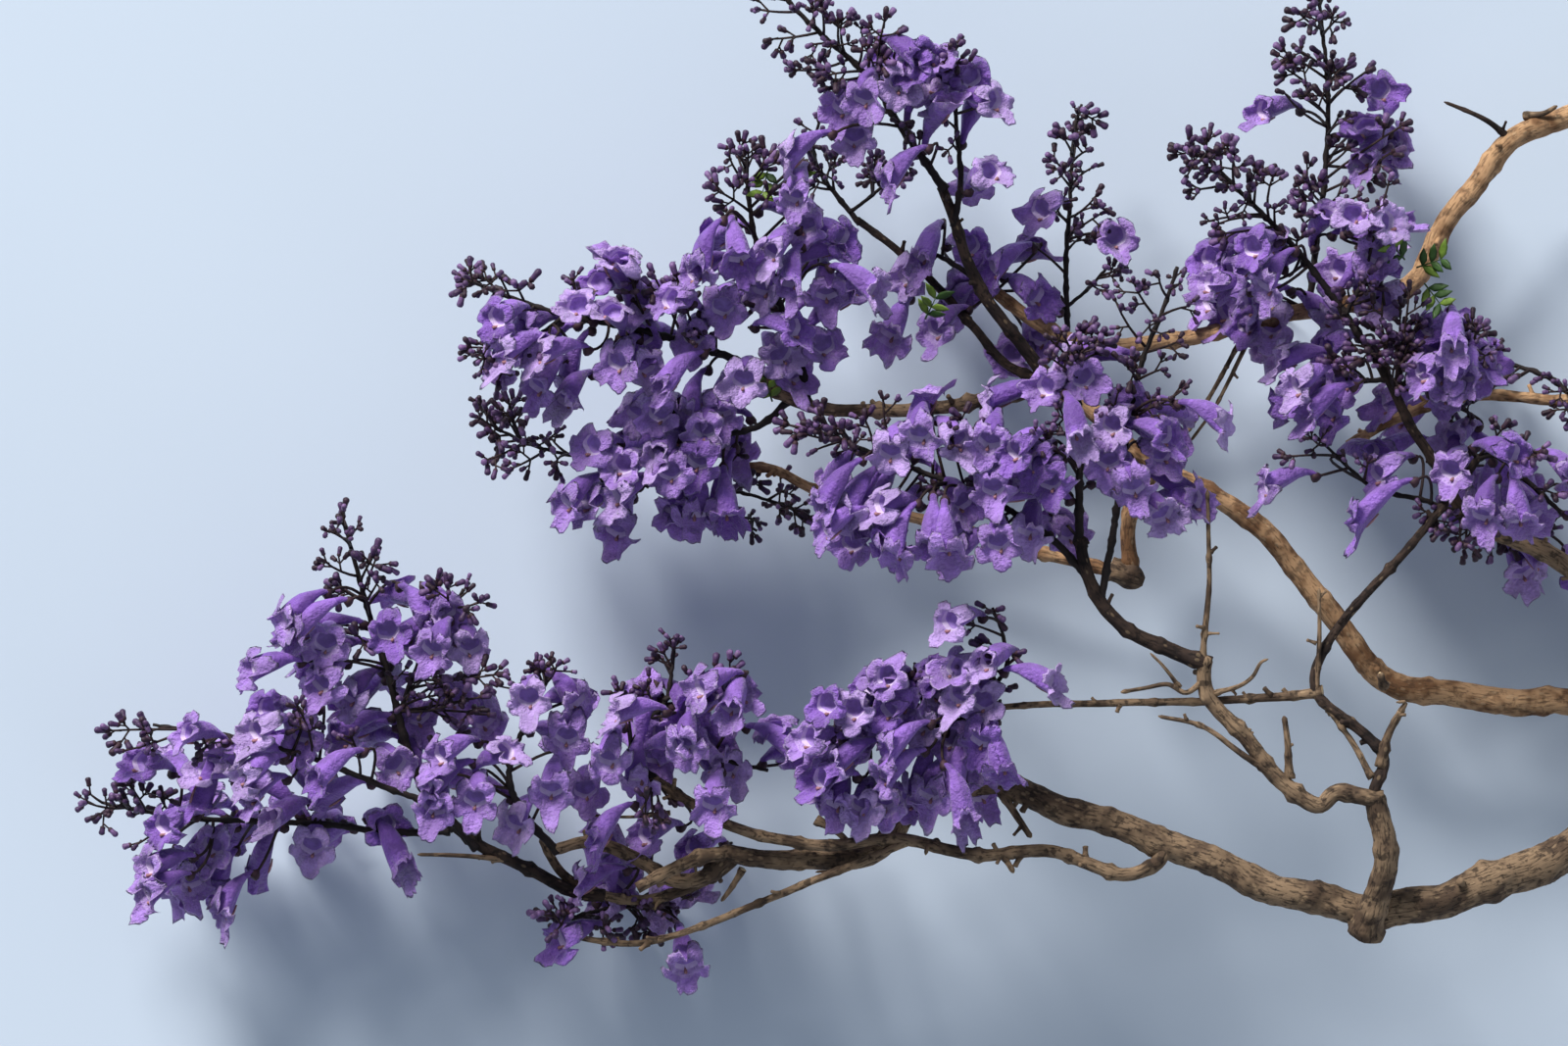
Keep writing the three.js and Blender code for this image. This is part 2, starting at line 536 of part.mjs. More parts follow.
class Mass {
  constructor([name, seed, stems]) {
    this.name = name;
    this.seed = seed;
    this.stems = stems.map((stem) => ({ ...stem, curve: curveThrough(stem.line) }));
    this.pieces = [];
    this.flowerCount = 0;
    this.sprayCount = 0;
    this.stems.forEach((stem) => this.growStem(stem));
  }

  growStem(stem) {
    const steps = stem.line.length - 1;
    this.pieces.push(tapered(stem.curve, steps, STEM_SIDES, ...stem.wide));
    taken.push(...curveStretches(this.name, 'stem', stem.curve, steps, ...stem.wide));
  }

  // Direction out of a stem at a share of it, turned round it and leaning to its tip
  outward(curve, share, turn, lean) {
    const along = curve.getTangent(share);
    const [side, up] = crossAxes(along);
    return side.multiplyScalar(Math.cos(turn))
      .addScaledVector(up, Math.sin(turn))
      .addScaledVector(along, lean)
      .normalize();
  }

  keep(parts, solids) {
    taken.push(...parts);
    this.pieces.push(...solids);
  }

  addBloom(root, foot, along, turn) {
    const parts = flowerStretches(this.name, root, foot, along);
    if (!isClear(parts)) return false;
    this.keep(parts, [flower(root, foot, along, turn)]);
    this.flowerCount += 1;
    return true;
  }

  growFlowers(stem, stemIndex) {
    const [count, first, last, firstReach, lastReach] = stem.flowers;
    for (let item = 0; item < count; item += 1) {
      const random = streamFor(this.seed, stemIndex, 1, item);
      for (let attempt = 0; attempt < TRIES; attempt += 1) {
        const share = (item + 0.5 + (random() - 0.5) * 0.8) / count;
        const place = THREE.MathUtils.lerp(first, last, share);
        const turn = (item + attempt * 0.37) * GOLDEN_TURN + (random() - 0.5) * 0.7;
        const reach = THREE.MathUtils.lerp(firstReach, lastReach, share)
          * (REACH_LOW + REACH_RANGE * random());
        const lean = 0.35 * random();
        const root = stem.curve.getPoint(place);
        const out = this.outward(stem.curve, place, turn, lean);
        const along = out.clone().add(FLOWER_DROOP).normalize();
        const away = Math.max(3, reach - FLOWER_LENGTH * 0.75);
        const foot = root.clone().addScaledVector(out, away);
        if (this.addBloom(root, foot, along, random() * 2)) break;
      }
    }
  }

  growBlooms(stem) {
    for (const [mouth, facing] of stem.blooms ?? []) {
      const along = vector(facing).normalize();
      const foot = vector(mouth).addScaledVector(along, -FLOWER_LENGTH);
      const stalk = foot.clone().addScaledVector(along, -ROOT_SINK);
      if (this.addBloom(stalk, foot, along, BLOOM_TURN)) {
        this.pieces.push(twig(this.nearestOnStem(stem, foot), foot, TWIG_RADIUS));
      }
    }
  }

  nearestOnStem(stem, point) {
    const samples = 40;
    let best = stem.curve.getPoint(0);
    for (let step = 1; step <= samples; step += 1) {
      const here = stem.curve.getPoint(step / samples);
      if (here.distanceTo(point) < best.distanceTo(point)) best = here;
    }
    return best;
  }

  // Short twigs, each with a bud at its tip
  growSprays(stem, stemIndex) {
    const [count, first, last, firstReach, lastReach] = stem.sprays;
    for (let item = 0; item < count; item += 1) {
      const random = streamFor(this.seed, stemIndex, 2, item);
      for (let attempt = 0; attempt < TRIES; attempt += 1) {
        const share = count > 1 ? item / (count - 1) : 1;
        const place = THREE.MathUtils.lerp(first, last, share) * 0.999;
        const turn = (item + attempt * 0.37) * GOLDEN_TURN + (random() - 0.5) * 0.7;
        const reach = THREE.MathUtils.lerp(firstReach, lastReach, share) * (0.8 + 0.4 * random());
        const root = stem.curve.getPoint(place);
        const out = this.outward(stem.curve, place, turn, 0.7 + 0.8 * share);
        if (this.addSpray(root, out, reach)) break;
      }
    }
  }

  addSpray(root, out, reach) {
    const tip = root.clone().addScaledVector(out, reach);
    const end = tip.clone().addScaledVector(out, BUD_LENGTH);
    const half = root.clone().lerp(tip, 0.5);
    const parts = [
      { owner: this.name, kind: 'root', a: root, b: half, radius: TWIG_RADIUS + 0.3 },
      { owner: this.name, kind: 'bud', a: half, b: end, radius: BUD_RADIUS + 2 },
    ];
    if (!isClear(parts)) return false;
    this.keep(parts, [buddedTwig(root, tip, out)]);
    this.sprayCount += 1;
    return true;
  }

  // Flowers with a place of their own come first, then buds, then the other flowers
  growSingles() {
    this.stems.forEach((stem) => this.growBlooms(stem));
  }

  growRest() {
    this.stems.forEach((stem, index) => this.growSprays(stem, index));
    this.stems.forEach((stem, index) => this.growFlowers(stem, index));
  }

  // All pieces fused, cut clear of every limb and of the other masses' stems
  fuse(limbs) {
    let solid = wasm.Manifold.union(this.pieces);
    for (const limb of limbs) solid = solid.subtract(limb.swollen);
    return largest(solid.simplify(SMALLEST_EDGE));
  }
}

function meshFor(name, finish, solid) {
  const { vertProperties, triVerts, numProp } = solid.getMesh();
  const geometry = new THREE.BufferGeometry();
  const positions = new Float32Array((vertProperties.length / numProp) * 3);
  for (let i = 0; i < positions.length / 3; i += 1) {
    positions.set(vertProperties.slice(i * numProp, i * numProp + 3), i * 3);
  }
  geometry.setAttribute('position', new THREE.BufferAttribute(positions, 3));
  geometry.setIndex(new THREE.BufferAttribute(new Uint32Array(triVerts), 1));
  const mesh = new THREE.Mesh(mergeVertices(geometry), new THREE.MeshStandardMaterial(FINISHES[finish]));
  mesh.name = name;
  return mesh;
}

const limbs = LIMBS.map(growLimb);
clearLimbs(limbs);
const masses = MASSES.map((row) => new Mass(row));
masses.forEach((mass) => mass.growSingles());
masses.forEach((mass) => mass.growRest());

const branch = new THREE.Group();
limbs.forEach((limb) => branch.add(meshFor(limb.name, limb.finish, limb.solid)));
masses.forEach((mass) => branch.add(meshFor(mass.name, 'blossom', mass.fuse(limbs))));

// The origin is under the middle of the whole branch, on the ground
const box = new THREE.Box3().setFromObject(branch);
const middle = box.getCenter(new THREE.Vector3());
branch.position.set(-middle.x, -middle.y, -box.min.z);
branch.updateMatrixWorld(true);

export default branch;
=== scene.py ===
"""A cut flowering branch of a jacaranda tree, lying on a pale floor.

The limbs and stems are those of the part's source. Flowers and twigs of buds stand where the
photograph shows them, and what the source's rule grows is kept where they hide it. Lengths are
millimetres unless a name says otherwise. Places in the tables count from the middle of the
photograph, with X towards the sawn end and Z up from the ground.
"""
import json
import logging
import math
from dataclasses import dataclass, field
from enum import Enum, IntEnum
from typing import Sequence, Union

import bpy
import numpy as np
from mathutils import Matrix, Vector
from numpy.typing import ArrayLike


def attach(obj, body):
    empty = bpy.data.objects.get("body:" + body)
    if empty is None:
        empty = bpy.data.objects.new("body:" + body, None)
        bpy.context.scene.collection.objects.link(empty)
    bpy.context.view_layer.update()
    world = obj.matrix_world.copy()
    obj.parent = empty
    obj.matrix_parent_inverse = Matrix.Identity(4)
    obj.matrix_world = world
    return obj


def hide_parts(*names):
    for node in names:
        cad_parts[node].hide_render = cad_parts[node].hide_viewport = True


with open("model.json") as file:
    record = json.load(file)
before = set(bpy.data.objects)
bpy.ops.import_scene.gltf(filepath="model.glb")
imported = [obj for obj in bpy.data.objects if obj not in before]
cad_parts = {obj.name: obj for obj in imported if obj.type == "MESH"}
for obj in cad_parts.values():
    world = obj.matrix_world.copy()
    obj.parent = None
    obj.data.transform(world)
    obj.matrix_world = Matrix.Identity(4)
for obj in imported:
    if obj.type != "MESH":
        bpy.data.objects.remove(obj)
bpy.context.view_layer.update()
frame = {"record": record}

Array = np.ndarray
Point = tuple[float, float, float]
Pair = tuple[float, float]
Line = tuple[Point, ...]
Random = np.random.Generator
Tree = bpy.types.NodeTree

LOG = logging.getLogger("jacaranda_branch")
MM = 0.001
WORD = 0xFFFFFFFF
FULL_TURN = 2 * math.pi
GOLDEN_TURN = math.pi * (3 - math.sqrt(5))
LEAST_LENGTH = 1e-12
LEAST_SQUARE = 1e-9

# How far along a flower its mouth is, and the camera's height over the plane of the tables, in m
MOUTH_SHARE = 0.87
CAMERA_HEIGHT = 16.0
PLANE_HEIGHT = 0.075

# The cut face of the main bough: where the record gives it, and where the tables have it
CUT_FACE_IN_TABLES = np.array([0.590, -0.133, 0.015])
CUT_FACE = np.array(frame["record"]["mounts"][0]["pos_m"])
SHIFT = CUT_FACE - CUT_FACE_IN_TABLES


class Seeds(IntEnum):
    """Where the random numbers of each set of things start."""

    LEAVES, PLACES, LIMBS, DEAD_TWIGS, REGIONS = 77, 300, 500, 700, 900


class Bark(Enum):
    """The three barks of the branch, named as the record's material slots."""

    GREY = "grey_bark"
    GOLDEN = "golden_bark"
    DARK = "dark_bark"


@dataclass(frozen=True)
class LimbRow:
    """One limb: its name, bark, first and last diameter and the line that it follows."""

    name: str
    bark: Bark
    first_wide: float
    last_wide: float
    line: Line


@dataclass(frozen=True)
class StemRow:
    """A stem of blossom.

    Flowers and sprays each give a number, the first and last share of the stem that they stand
    on, and how far they reach from it at those places. Blooms are single flowers, each with the
    place of its mouth and the way that it faces.
    """

    wide: Pair
    line: Line
    flowers: tuple[float, ...]
    sprays: tuple[float, ...]
    blooms: tuple[tuple[Point, Point], ...] = ()


@dataclass(frozen=True)
class MassRow:
    """One mass of blossom: its name, seed and stems."""

    name: str
    seed: int
    stems: tuple[StemRow, ...]


LIMB_ROWS = (
    LimbRow("main_bough", Bark.GREY, 28, 17, ((590, -133, 15), (570, -133, 16), (535, -125, 30),
        (475, -135, 62), (400, -167, 90), (350, -187, 103), (297, -200, 109))),
    LimbRow("forward_bough", Bark.GREY, 17, 9, ((304, -199, 109), (250, -186, 109),
        (195, -163, 105), (150, -148, 100), (100, -132, 95), (66, -145, 91), (45, -168, 87),
        (6, -172, 84), (-32, -168, 81))),
    LimbRow("front_stalk", Bark.GREY, 14, 11, ((297, -207, 111), (303, -184, 125), (306, -163, 131),
        (300, -136, 135))),
    LimbRow("centre_limb_lower", Bark.GREY, 9, 7.5, ((302, -140, 135), (282, -137, 137),
        (271, -144, 138), (252, -130, 138), (234, -109, 138), (216, -88, 138), (213, -67, 139))),
    LimbRow("centre_limb_upper", Bark.DARK, 8, 6, ((215, -71, 139), (195, -64, 140),
        (175, -55, 141), (160, -38, 142), (152, -20, 143), (150, -6, 144))),
    LimbRow("centre_side_twig", Bark.GREY, 3.6, 2, ((252, -130, 138), (232, -117, 145),
        (212, -103, 147), (190, -98, 147))),
    LimbRow("upright_twig", Bark.GREY, 3.4, 1.8, ((213, -68, 140), (216, -25, 144),
        (215, 17, 145))),
    LimbRow("right_thin_limb", Bark.DARK, 6, 4, ((300, -137, 135), (305, -120, 135),
        (292, -105, 134), (271, -86, 132), (275, -63, 129), (300, -32, 122), (328, -1, 113),
        (355, 35, 102))),
    LimbRow("right_spur", Bark.GREY, 5, 3.6, ((304, -122, 135), (307, -108, 138), (313, -96, 139))),
    LimbRow("cross_twig", Bark.GREY, 5, 3, ((272, -86, 131), (245, -89, 127), (200, -91, 124),
        (142, -92, 122), (105, -94, 120))),
    LimbRow("lower_limb", Bark.GREY, 7.5, 5, ((194, -163, 105), (188, -174, 110), (170, -179, 112),
        (137, -167, 110), (100, -169, 107), (57, -161, 102), (15, -164, 97), (-25, -155, 92),
        (-52, -140, 90), (-70, -128, 88))),
    LimbRow("under_twig", Bark.GREY, 4.4, 3, ((62, -162, 102), (39, -173, 99), (10, -184, 92),
        (-30, -201, 82), (-70, -214, 72), (-95, -213, 68), (-112, -209, 64))),
    LimbRow("tip_stub", Bark.GREY, 8, 6, ((-30, -168, 82), (-42, -170, 86), (-57, -177, 88),
        (-75, -186, 88))),
    LimbRow("tip_knobbed_limb", Bark.GREY, 8.5, 6, ((-28, -169, 80), (-42, -181, 76),
        (-58, -182, 74), (-75, -171, 74), (-97, -163, 74), (-118, -167, 74))),
    LimbRow("tip_curved_limb", Bark.GREY, 6, 4.5, ((-24, -170, 80), (-36, -180, 70),
        (-52, -188, 64), (-72, -192, 62), (-92, -190, 62), (-112, -180, 64), (-124, -160, 68))),
    LimbRow("left_limb", Bark.DARK, 7, 5.5, ((-94, -190, 62), (-110, -187, 66), (-132, -176, 70),
        (-155, -164, 73), (-170, -154, 74))),
    LimbRow("left_bare_twig", Bark.GREY, 3, 1.8, ((-138, -172, 71), (-160, -170, 78),
        (-187, -169, 82))),
    LimbRow("middle_limb_outer", Bark.GOLDEN, 15, 12.5, ((535, -125, 30), (512, -112, 37),
        (475, -95, 45), (400, -92, 50), (350, -89, 52), (312, -82, 52), (296, -71, 52))),
    LimbRow("middle_limb_inner", Bark.GOLDEN, 12.5, 8, ((300, -74, 52), (281, -49, 52),
        (260, -21, 54), (240, 0, 56), (215, 17, 58), (188, 29, 61), (160, 55, 65), (133, 73, 68))),
    LimbRow("elbow_spur", Bark.GOLDEN, 8, 8, ((190, 28, 60), (180, 14, 52), (176, -6, 46),
        (178, -30, 42))),
    LimbRow("low_limb", Bark.GOLDEN, 7, 4.5, ((179, -27, 42), (154, -21, 42), (123, -13, 42),
        (86, -2, 42), (50, 7, 44), (17, 17, 46), (-5, 27, 48), (-28, 29, 50))),
    LimbRow("inner_left_limb", Bark.GREY, 7.5, 6, ((136, 70, 67), (110, 64, 71), (86, 60, 74),
        (50, 57, 78), (18, 59, 82), (-2, 66, 86), (-14, 78, 90))),
    LimbRow("dark_stem", Bark.DARK, 7, 5, ((138, 70, 68), (116, 97, 78), (102, 117, 83),
        (92, 137, 87), (86, 157, 90), (80, 173, 93))),
    LimbRow("back_stem", Bark.DARK, 5, 3.6, ((134, 72, 66), (112, 82, 56), (97, 100, 51),
        (80, 119, 48), (55, 142, 46), (36, 156, 44))),
    LimbRow("right_limb", Bark.GREY, 11, 9, ((492, -103, 42), (460, -69, 60), (425, -43, 70),
        (398, -21, 76), (372, -8, 81), (347, 2, 86))),
    LimbRow("right_stem", Bark.DARK, 6, 4.5, ((349, 0, 86), (333, 28, 90), (320, 49, 93),
        (310, 69, 95), (298, 89, 97))),
    LimbRow("back_limb", Bark.GOLDEN, 7, 5, ((508, 45, 38), (480, 62, 37), (450, 67, 36),
        (400, 63, 35), (350, 65, 34), (315, 54, 34), (288, 40, 34))),
    LimbRow("rising_limb", Bark.GOLDEN, 16, 12, ((548, -128, 25), (534, -80, 32), (518, -13, 36),
        (502, 80, 41), (484, 165, 46), (452, 212, 49))),
    LimbRow("upper_limb_outer", Bark.GOLDEN, 12, 10, ((456, 208, 49), (430, 219, 50),
        (400, 208, 50), (372, 195, 51), (350, 169, 51), (335, 147, 51), (322, 122, 51))),
    LimbRow("upper_limb_inner", Bark.GOLDEN, 10, 6.5, ((325, 127, 51), (308, 114, 51),
        (283, 111, 52), (261, 108, 52), (226, 99, 54), (190, 92, 57), (160, 91, 60), (132, 100, 63),
        (106, 120, 66))),
    LimbRow("upper_spur", Bark.DARK, 4, 1.6, ((373, 195, 51), (358, 206, 58), (337, 215, 61))),
    LimbRow("hanging_twig", Bark.GREY, 2.8, 1.8, ((238, 103, 53), (222, 72, 46), (206, 46, 42))),
)

MASS_ROWS = (
    MassRow("left_panicle_upper", 11, (
        StemRow((5, 2), ((-168, -155, 74), (-183, -138, 76), (-194, -108, 82), (-201, -80, 86),
            (-209, -55, 88), (-216, -30, 90), (-224, 0, 92)), (10, 0.14, 0.72, 52, 44),
            (4, 0.7, 1, 24, 12)),
        StemRow((2.4, 1.6), ((-196, -96, 84), (-182, -62, 92), (-163, -34, 96)),
            (2, 0.3, 0.8, 36, 28), (2, 0.8, 1, 14, 10)),
    )),
    MassRow("left_panicle_tip", 12, (
        StemRow((4, 1.6), ((-172, -157, 72), (-200, -158, 68), (-232, -154, 64), (-274, -152, 60),
            (-302, -151, 58), (-328, -147, 56), (-348, -143, 56)), (10, 0.1, 0.84, 42, 36),
            (2, 0.86, 1, 12, 10)),
    )),
    MassRow("left_panicle_middle", 13, (
        StemRow((4, 1.6), ((-158, -165, 75), (-176, -146, 86), (-205, -134, 92), (-240, -120, 94),
            (-284, -108, 88), (-322, -103, 82)), (8, 0.2, 0.86, 38, 30), (3, 0.84, 1, 18, 12)),
    )),
    MassRow("tip_panicle_left", 14, (
        StemRow((4.4, 1.8), ((-116, -167, 74), (-130, -152, 80), (-140, -132, 88), (-136, -112, 92),
            (-126, -92, 96), (-118, -74, 98)), (9, 0.1, 0.82, 48, 40), (3, 0.84, 1, 14, 10)),
    )),
    MassRow("tip_panicle_right", 15, (
        StemRow((4.4, 1.8), ((-67, -130, 88), (-78, -118, 90), (-72, -104, 93), (-60, -90, 96),
            (-56, -64, 98)), (6, 0.1, 0.8, 46, 40), (3, 0.84, 1, 14, 10)),
        StemRow((3, 1.6), ((-74, -110, 92), (-48, -112, 92), (-26, -122, 90), (-8, -126, 90)),
            (5, 0.3, 0.95, 36, 30), (0, 0, 0, 0, 0)),
        StemRow((2, 1.4), ((-60, -90, 96), (-42, -82, 100), (-26, -74, 102)), (1, 0.5, 0.6, 28, 24),
            (2, 0.7, 1, 12, 9)),
    )),
    MassRow("inner_panicle", 16, (
        StemRow((3.4, 1.8), ((108, -94, 120), (90, -100, 121), (66, -106, 122), (42, -104, 120),
            (22, -104, 116)), (9, 0.12, 0.98, 42, 32), (0, 0, 0, 0, 0)),
        StemRow((2.4, 1.4), ((92, -99, 121), (112, -76, 126), (112, -60, 126), (106, -43, 126)),
            (1, 0.2, 0.3, 28, 28), (2, 0.6, 1, 14, 8), (((70, -53, 134), (-0.95, -0.2, 0.25)),
            ((150, -85, 128), (1, -0.2, 0.1)),)),
    )),
    MassRow("under_panicle", 17, (
        StemRow((3, 1.6), ((-108, -211, 65), (-116, -206, 58), (-102, -200, 48), (-82, -196, 42),
            (-62, -196, 38)), (3, 0.3, 0.9, 28, 26), (6, 0.1, 1, 22, 20), (((-50, -232, 30),
            (0.3, -0.95, -0.1)), ((-114, -222, 34), (-0.3, -0.8, -0.4)),)),
    )),
    MassRow("upper_left_panicle", 21, (
        StemRow((4.6, 1.8), ((-13, 76, 90), (-32, 86, 92), (-72, 98, 95), (-112, 106, 96),
            (-140, 115, 96), (-154, 121, 96)), (10, 0.12, 0.86, 43, 35), (4, 0.86, 1, 16, 10)),
        StemRow((2, 1.4), ((-112, 106, 96), (-130, 92, 100), (-152, 84, 100)),
            (2, 0.3, 0.6, 30, 26), (1, 0.8, 1, 14, 10)),
    )),
    MassRow("upper_left_panicle_low", 22, (
        StemRow((4, 1.8), ((2, 62, 84), (-12, 50, 82), (-34, 44, 80), (-56, 40, 78), (-70, 18, 72)),
            (10, 0.16, 1, 42, 34), (0, 0, 0, 0, 0)),
        StemRow((2.4, 1.4), ((-56, 40, 78), (-90, 34, 74), (-120, 37, 72), (-147, 48, 70)),
            (2, 0.1, 0.4, 34, 28), (5, 0.4, 1, 18, 12)),
    )),
    MassRow("upper_middle_panicle", 23, (
        StemRow((4.4, 1.8), ((12, 62, 83), (8, 86, 92), (0, 107, 97), (-8, 124, 100),
            (-15, 146, 102), (-18, 166, 103), (-20, 184, 103)), (9, 0.14, 0.84, 46, 36),
            (3, 0.86, 1, 18, 12)),
    )),
    MassRow("top_panicle_left", 24, (
        StemRow((4.4, 1.8), ((81, 171, 93), (72, 184, 96), (58, 204, 99), (42, 228, 102),
            (20, 248, 104), (2, 266, 105), (-10, 288, 105)), (5, 0.06, 0.5, 36, 34),
            (7, 0.5, 1, 26, 16), (((2, 180, 106), (-0.85, -0.4, 0.3)),)),
    )),
    MassRow("top_panicle_right", 25, (
        StemRow((3.6, 1.6), ((87, 153, 90), (90, 176, 98), (88, 200, 103), (86, 236, 106)),
            (5, 0.2, 0.9, 32, 30), (2, 0.86, 1, 16, 12), (((109, 178, 116), (0.1, 0, 1)),)),
    )),
    MassRow("back_panicle_left", 26, (
        StemRow((3, 1.6), ((38, 154, 44), (28, 166, 43), (18, 180, 42), (14, 196, 42)),
            (1, 0.2, 0.4, 30, 26), (4, 0.1, 1, 22, 14)),
        StemRow((2, 1.4), ((34, 159, 44), (48, 170, 42), (60, 182, 42)), (0, 0, 0, 0, 0),
            (2, 0.4, 1, 16, 12)),
    )),
    MassRow("back_panicle_middle", 27, (
        StemRow((3.6, 1.8), ((108, 118, 66), (96, 126, 60), (80, 136, 54), (66, 140, 50)),
            (5, 0.16, 1, 34, 30), (0, 0, 0, 0, 0), (((57, 88, 44), (-0.15, -0.95, 0.1)),)),
    )),
    MassRow("low_bud_panicle", 28, (
        StemRow((3, 1.4), ((-26, 29, 50), (-34, 20, 46), (-30, 6, 42), (-14, -4, 40)),
            (0, 0, 0, 0, 0), (4, 0.1, 1, 18, 12)),
        StemRow((2, 1.4), ((-33, 18, 46), (-16, 14, 38), (4, 8, 36)), (0, 0, 0, 0, 0),
            (2, 0.4, 1, 14, 10)),
    )),
    MassRow("centre_panicle_middle", 31, (
        StemRow((4.6, 2), ((150, -8, 144), (150, 17, 146), (151, 47, 150), (148, 74, 152),
            (147, 92, 152)), (7, 0.14, 0.8, 42, 36), (3, 0.8, 1, 20, 12)),
    )),
    MassRow("centre_panicle_left", 32, (
        StemRow((4, 1.8), ((156, -30, 142), (136, -8, 142), (108, 10, 142), (70, 26, 140),
            (44, 36, 136), (20, 46, 132)), (11, 0.18, 0.86, 40, 34), (3, 0.84, 1, 20, 14)),
    )),
    MassRow("centre_panicle_right", 33, (
        StemRow((4, 1.8), ((161, -40, 142), (168, 0, 142), (175, 50, 142), (182, 82, 142),
            (192, 107, 142), (200, 130, 142)), (6, 0.24, 0.7, 38, 32), (5, 0.62, 1, 20, 12),
            (((226, 49, 146), (0.95, -0.25, 0.1)),)),
    )),
    MassRow("back_spire", 41, (
        StemRow((3, 1.4), ((145, 92, 62), (144, 132, 58), (146, 162, 56), (148, 197, 54),
            (152, 214, 54)), (1, 0.3, 0.5, 28, 26), (5, 0.3, 1, 16, 12), (((131, 158, 74),
            (-0.08, 0.02, 1)), ((169, 144, 74), (0.1, -0.05, 1)),)),
        StemRow((2, 1.4), ((144, 110, 60), (156, 120, 56), (166, 132, 54)), (0, 0, 0, 0, 0),
            (2, 0.3, 1, 14, 10)),
    )),
    MassRow("top_right_spire", 42, (
        StemRow((3.6, 1.6), ((268, 108, 52), (272, 142, 52), (276, 172, 52), (278, 217, 52),
            (275, 252, 52), (272, 280, 52)), (2, 0.5, 0.7, 34, 32), (7, 0.42, 1, 20, 14),
            (((250, 210, 70), (-0.2, 0, 1)), ((302, 216, 70), (0.15, 0.1, 1)), ((304, 186, 68),
            (0.2, -0.1, 1)),)),
    )),
    MassRow("right_panicle_top", 43, (
        StemRow((4.2, 1.8), ((299, 87, 97), (284, 109, 99), (266, 133, 102), (250, 151, 104),
            (231, 170, 106), (209, 192, 107)), (5, 0.1, 0.62, 36, 32), (7, 0.6, 1, 24, 12)),
        StemRow((2.4, 1.6), ((286, 106, 99), (296, 126, 106), (300, 148, 108)),
            (4, 0.2, 0.9, 30, 26), (1, 0.8, 1, 14, 12)),
    )),
    MassRow("right_panicle_inner", 44, (
        StemRow((3, 1.6), ((308, 73, 95), (292, 72, 98), (274, 70, 100)), (4, 0.2, 1, 30, 26),
            (1, 0.8, 1, 14, 12)),
    )),
    MassRow("right_panicle_outer", 45, (
        StemRow((3, 1.6), ((311, 67, 95), (326, 78, 94), (344, 82, 92), (360, 88, 90)),
            (5, 0.2, 0.9, 30, 26), (2, 0.8, 1, 14, 12)),
    )),
    MassRow("right_edge_panicle", 46, (
        StemRow((3.6, 1.8), ((353, 33, 103), (364, 34, 104), (380, 20, 104), (398, 4, 102),
            (416, -6, 100)), (9, 0.1, 0.94, 38, 32), (2, 0.86, 1, 14, 12)),
    )),
    MassRow("right_inner_sprig", 47, (
        StemRow((3, 1.4), ((346, 4, 88), (324, 12, 96), (302, 17, 100), (290, 26, 102),
            (270, 45, 104)), (1, 0.3, 0.5, 26, 24), (3, 0.6, 1, 14, 10), (((302, 26, 118),
            (-0.85, -0.45, 0.1)), ((297, -7, 112), (-0.7, -0.7, 0)), ((244, 14, 106),
            (-0.95, -0.25, 0.1)),)),
    )),
    MassRow("back_right_panicle", 48, (
        StemRow((3.4, 1.6), ((404, 64, 35), (392, 74, 32), (376, 80, 30), (362, 84, 28)),
            (1, 0.5, 0.8, 26, 26), (5, 0.1, 1, 24, 18)),
    )),
    MassRow("back_low_panicle", 49, (
        StemRow((3, 1.6), ((344, 62, 34), (340, 44, 30), (350, 20, 26), (366, 4, 24),
            (392, -4, 24)), (1, 0.1, 0.2, 26, 26), (5, 0.3, 1, 24, 18)),
    )),
)

# Masses whose small pieces are joined together, by their seeds
REGIONS = {
    "left": (11, 12, 13),
    "tip": (14, 15, 17),
    "inner": (16,),
    "upper_left": (21, 22, 23),
    "top": (24, 25),
    "back": (26, 27, 28),
    "centre": (31, 32, 33),
    "upper_right": (41, 42, 43, 44),
    "right": (45, 46, 47, 48, 49),
}

# Limbs that carry on from another limb's tip, with no collar at their foot
CARRIED_ON = {"main_bough", "forward_bough", "centre_limb_lower", "centre_limb_upper",
              "right_thin_limb", "tip_stub", "tip_knobbed_limb", "tip_curved_limb", "left_limb",
              "middle_limb_inner", "upper_limb_inner", "low_limb", "inner_left_limb"}

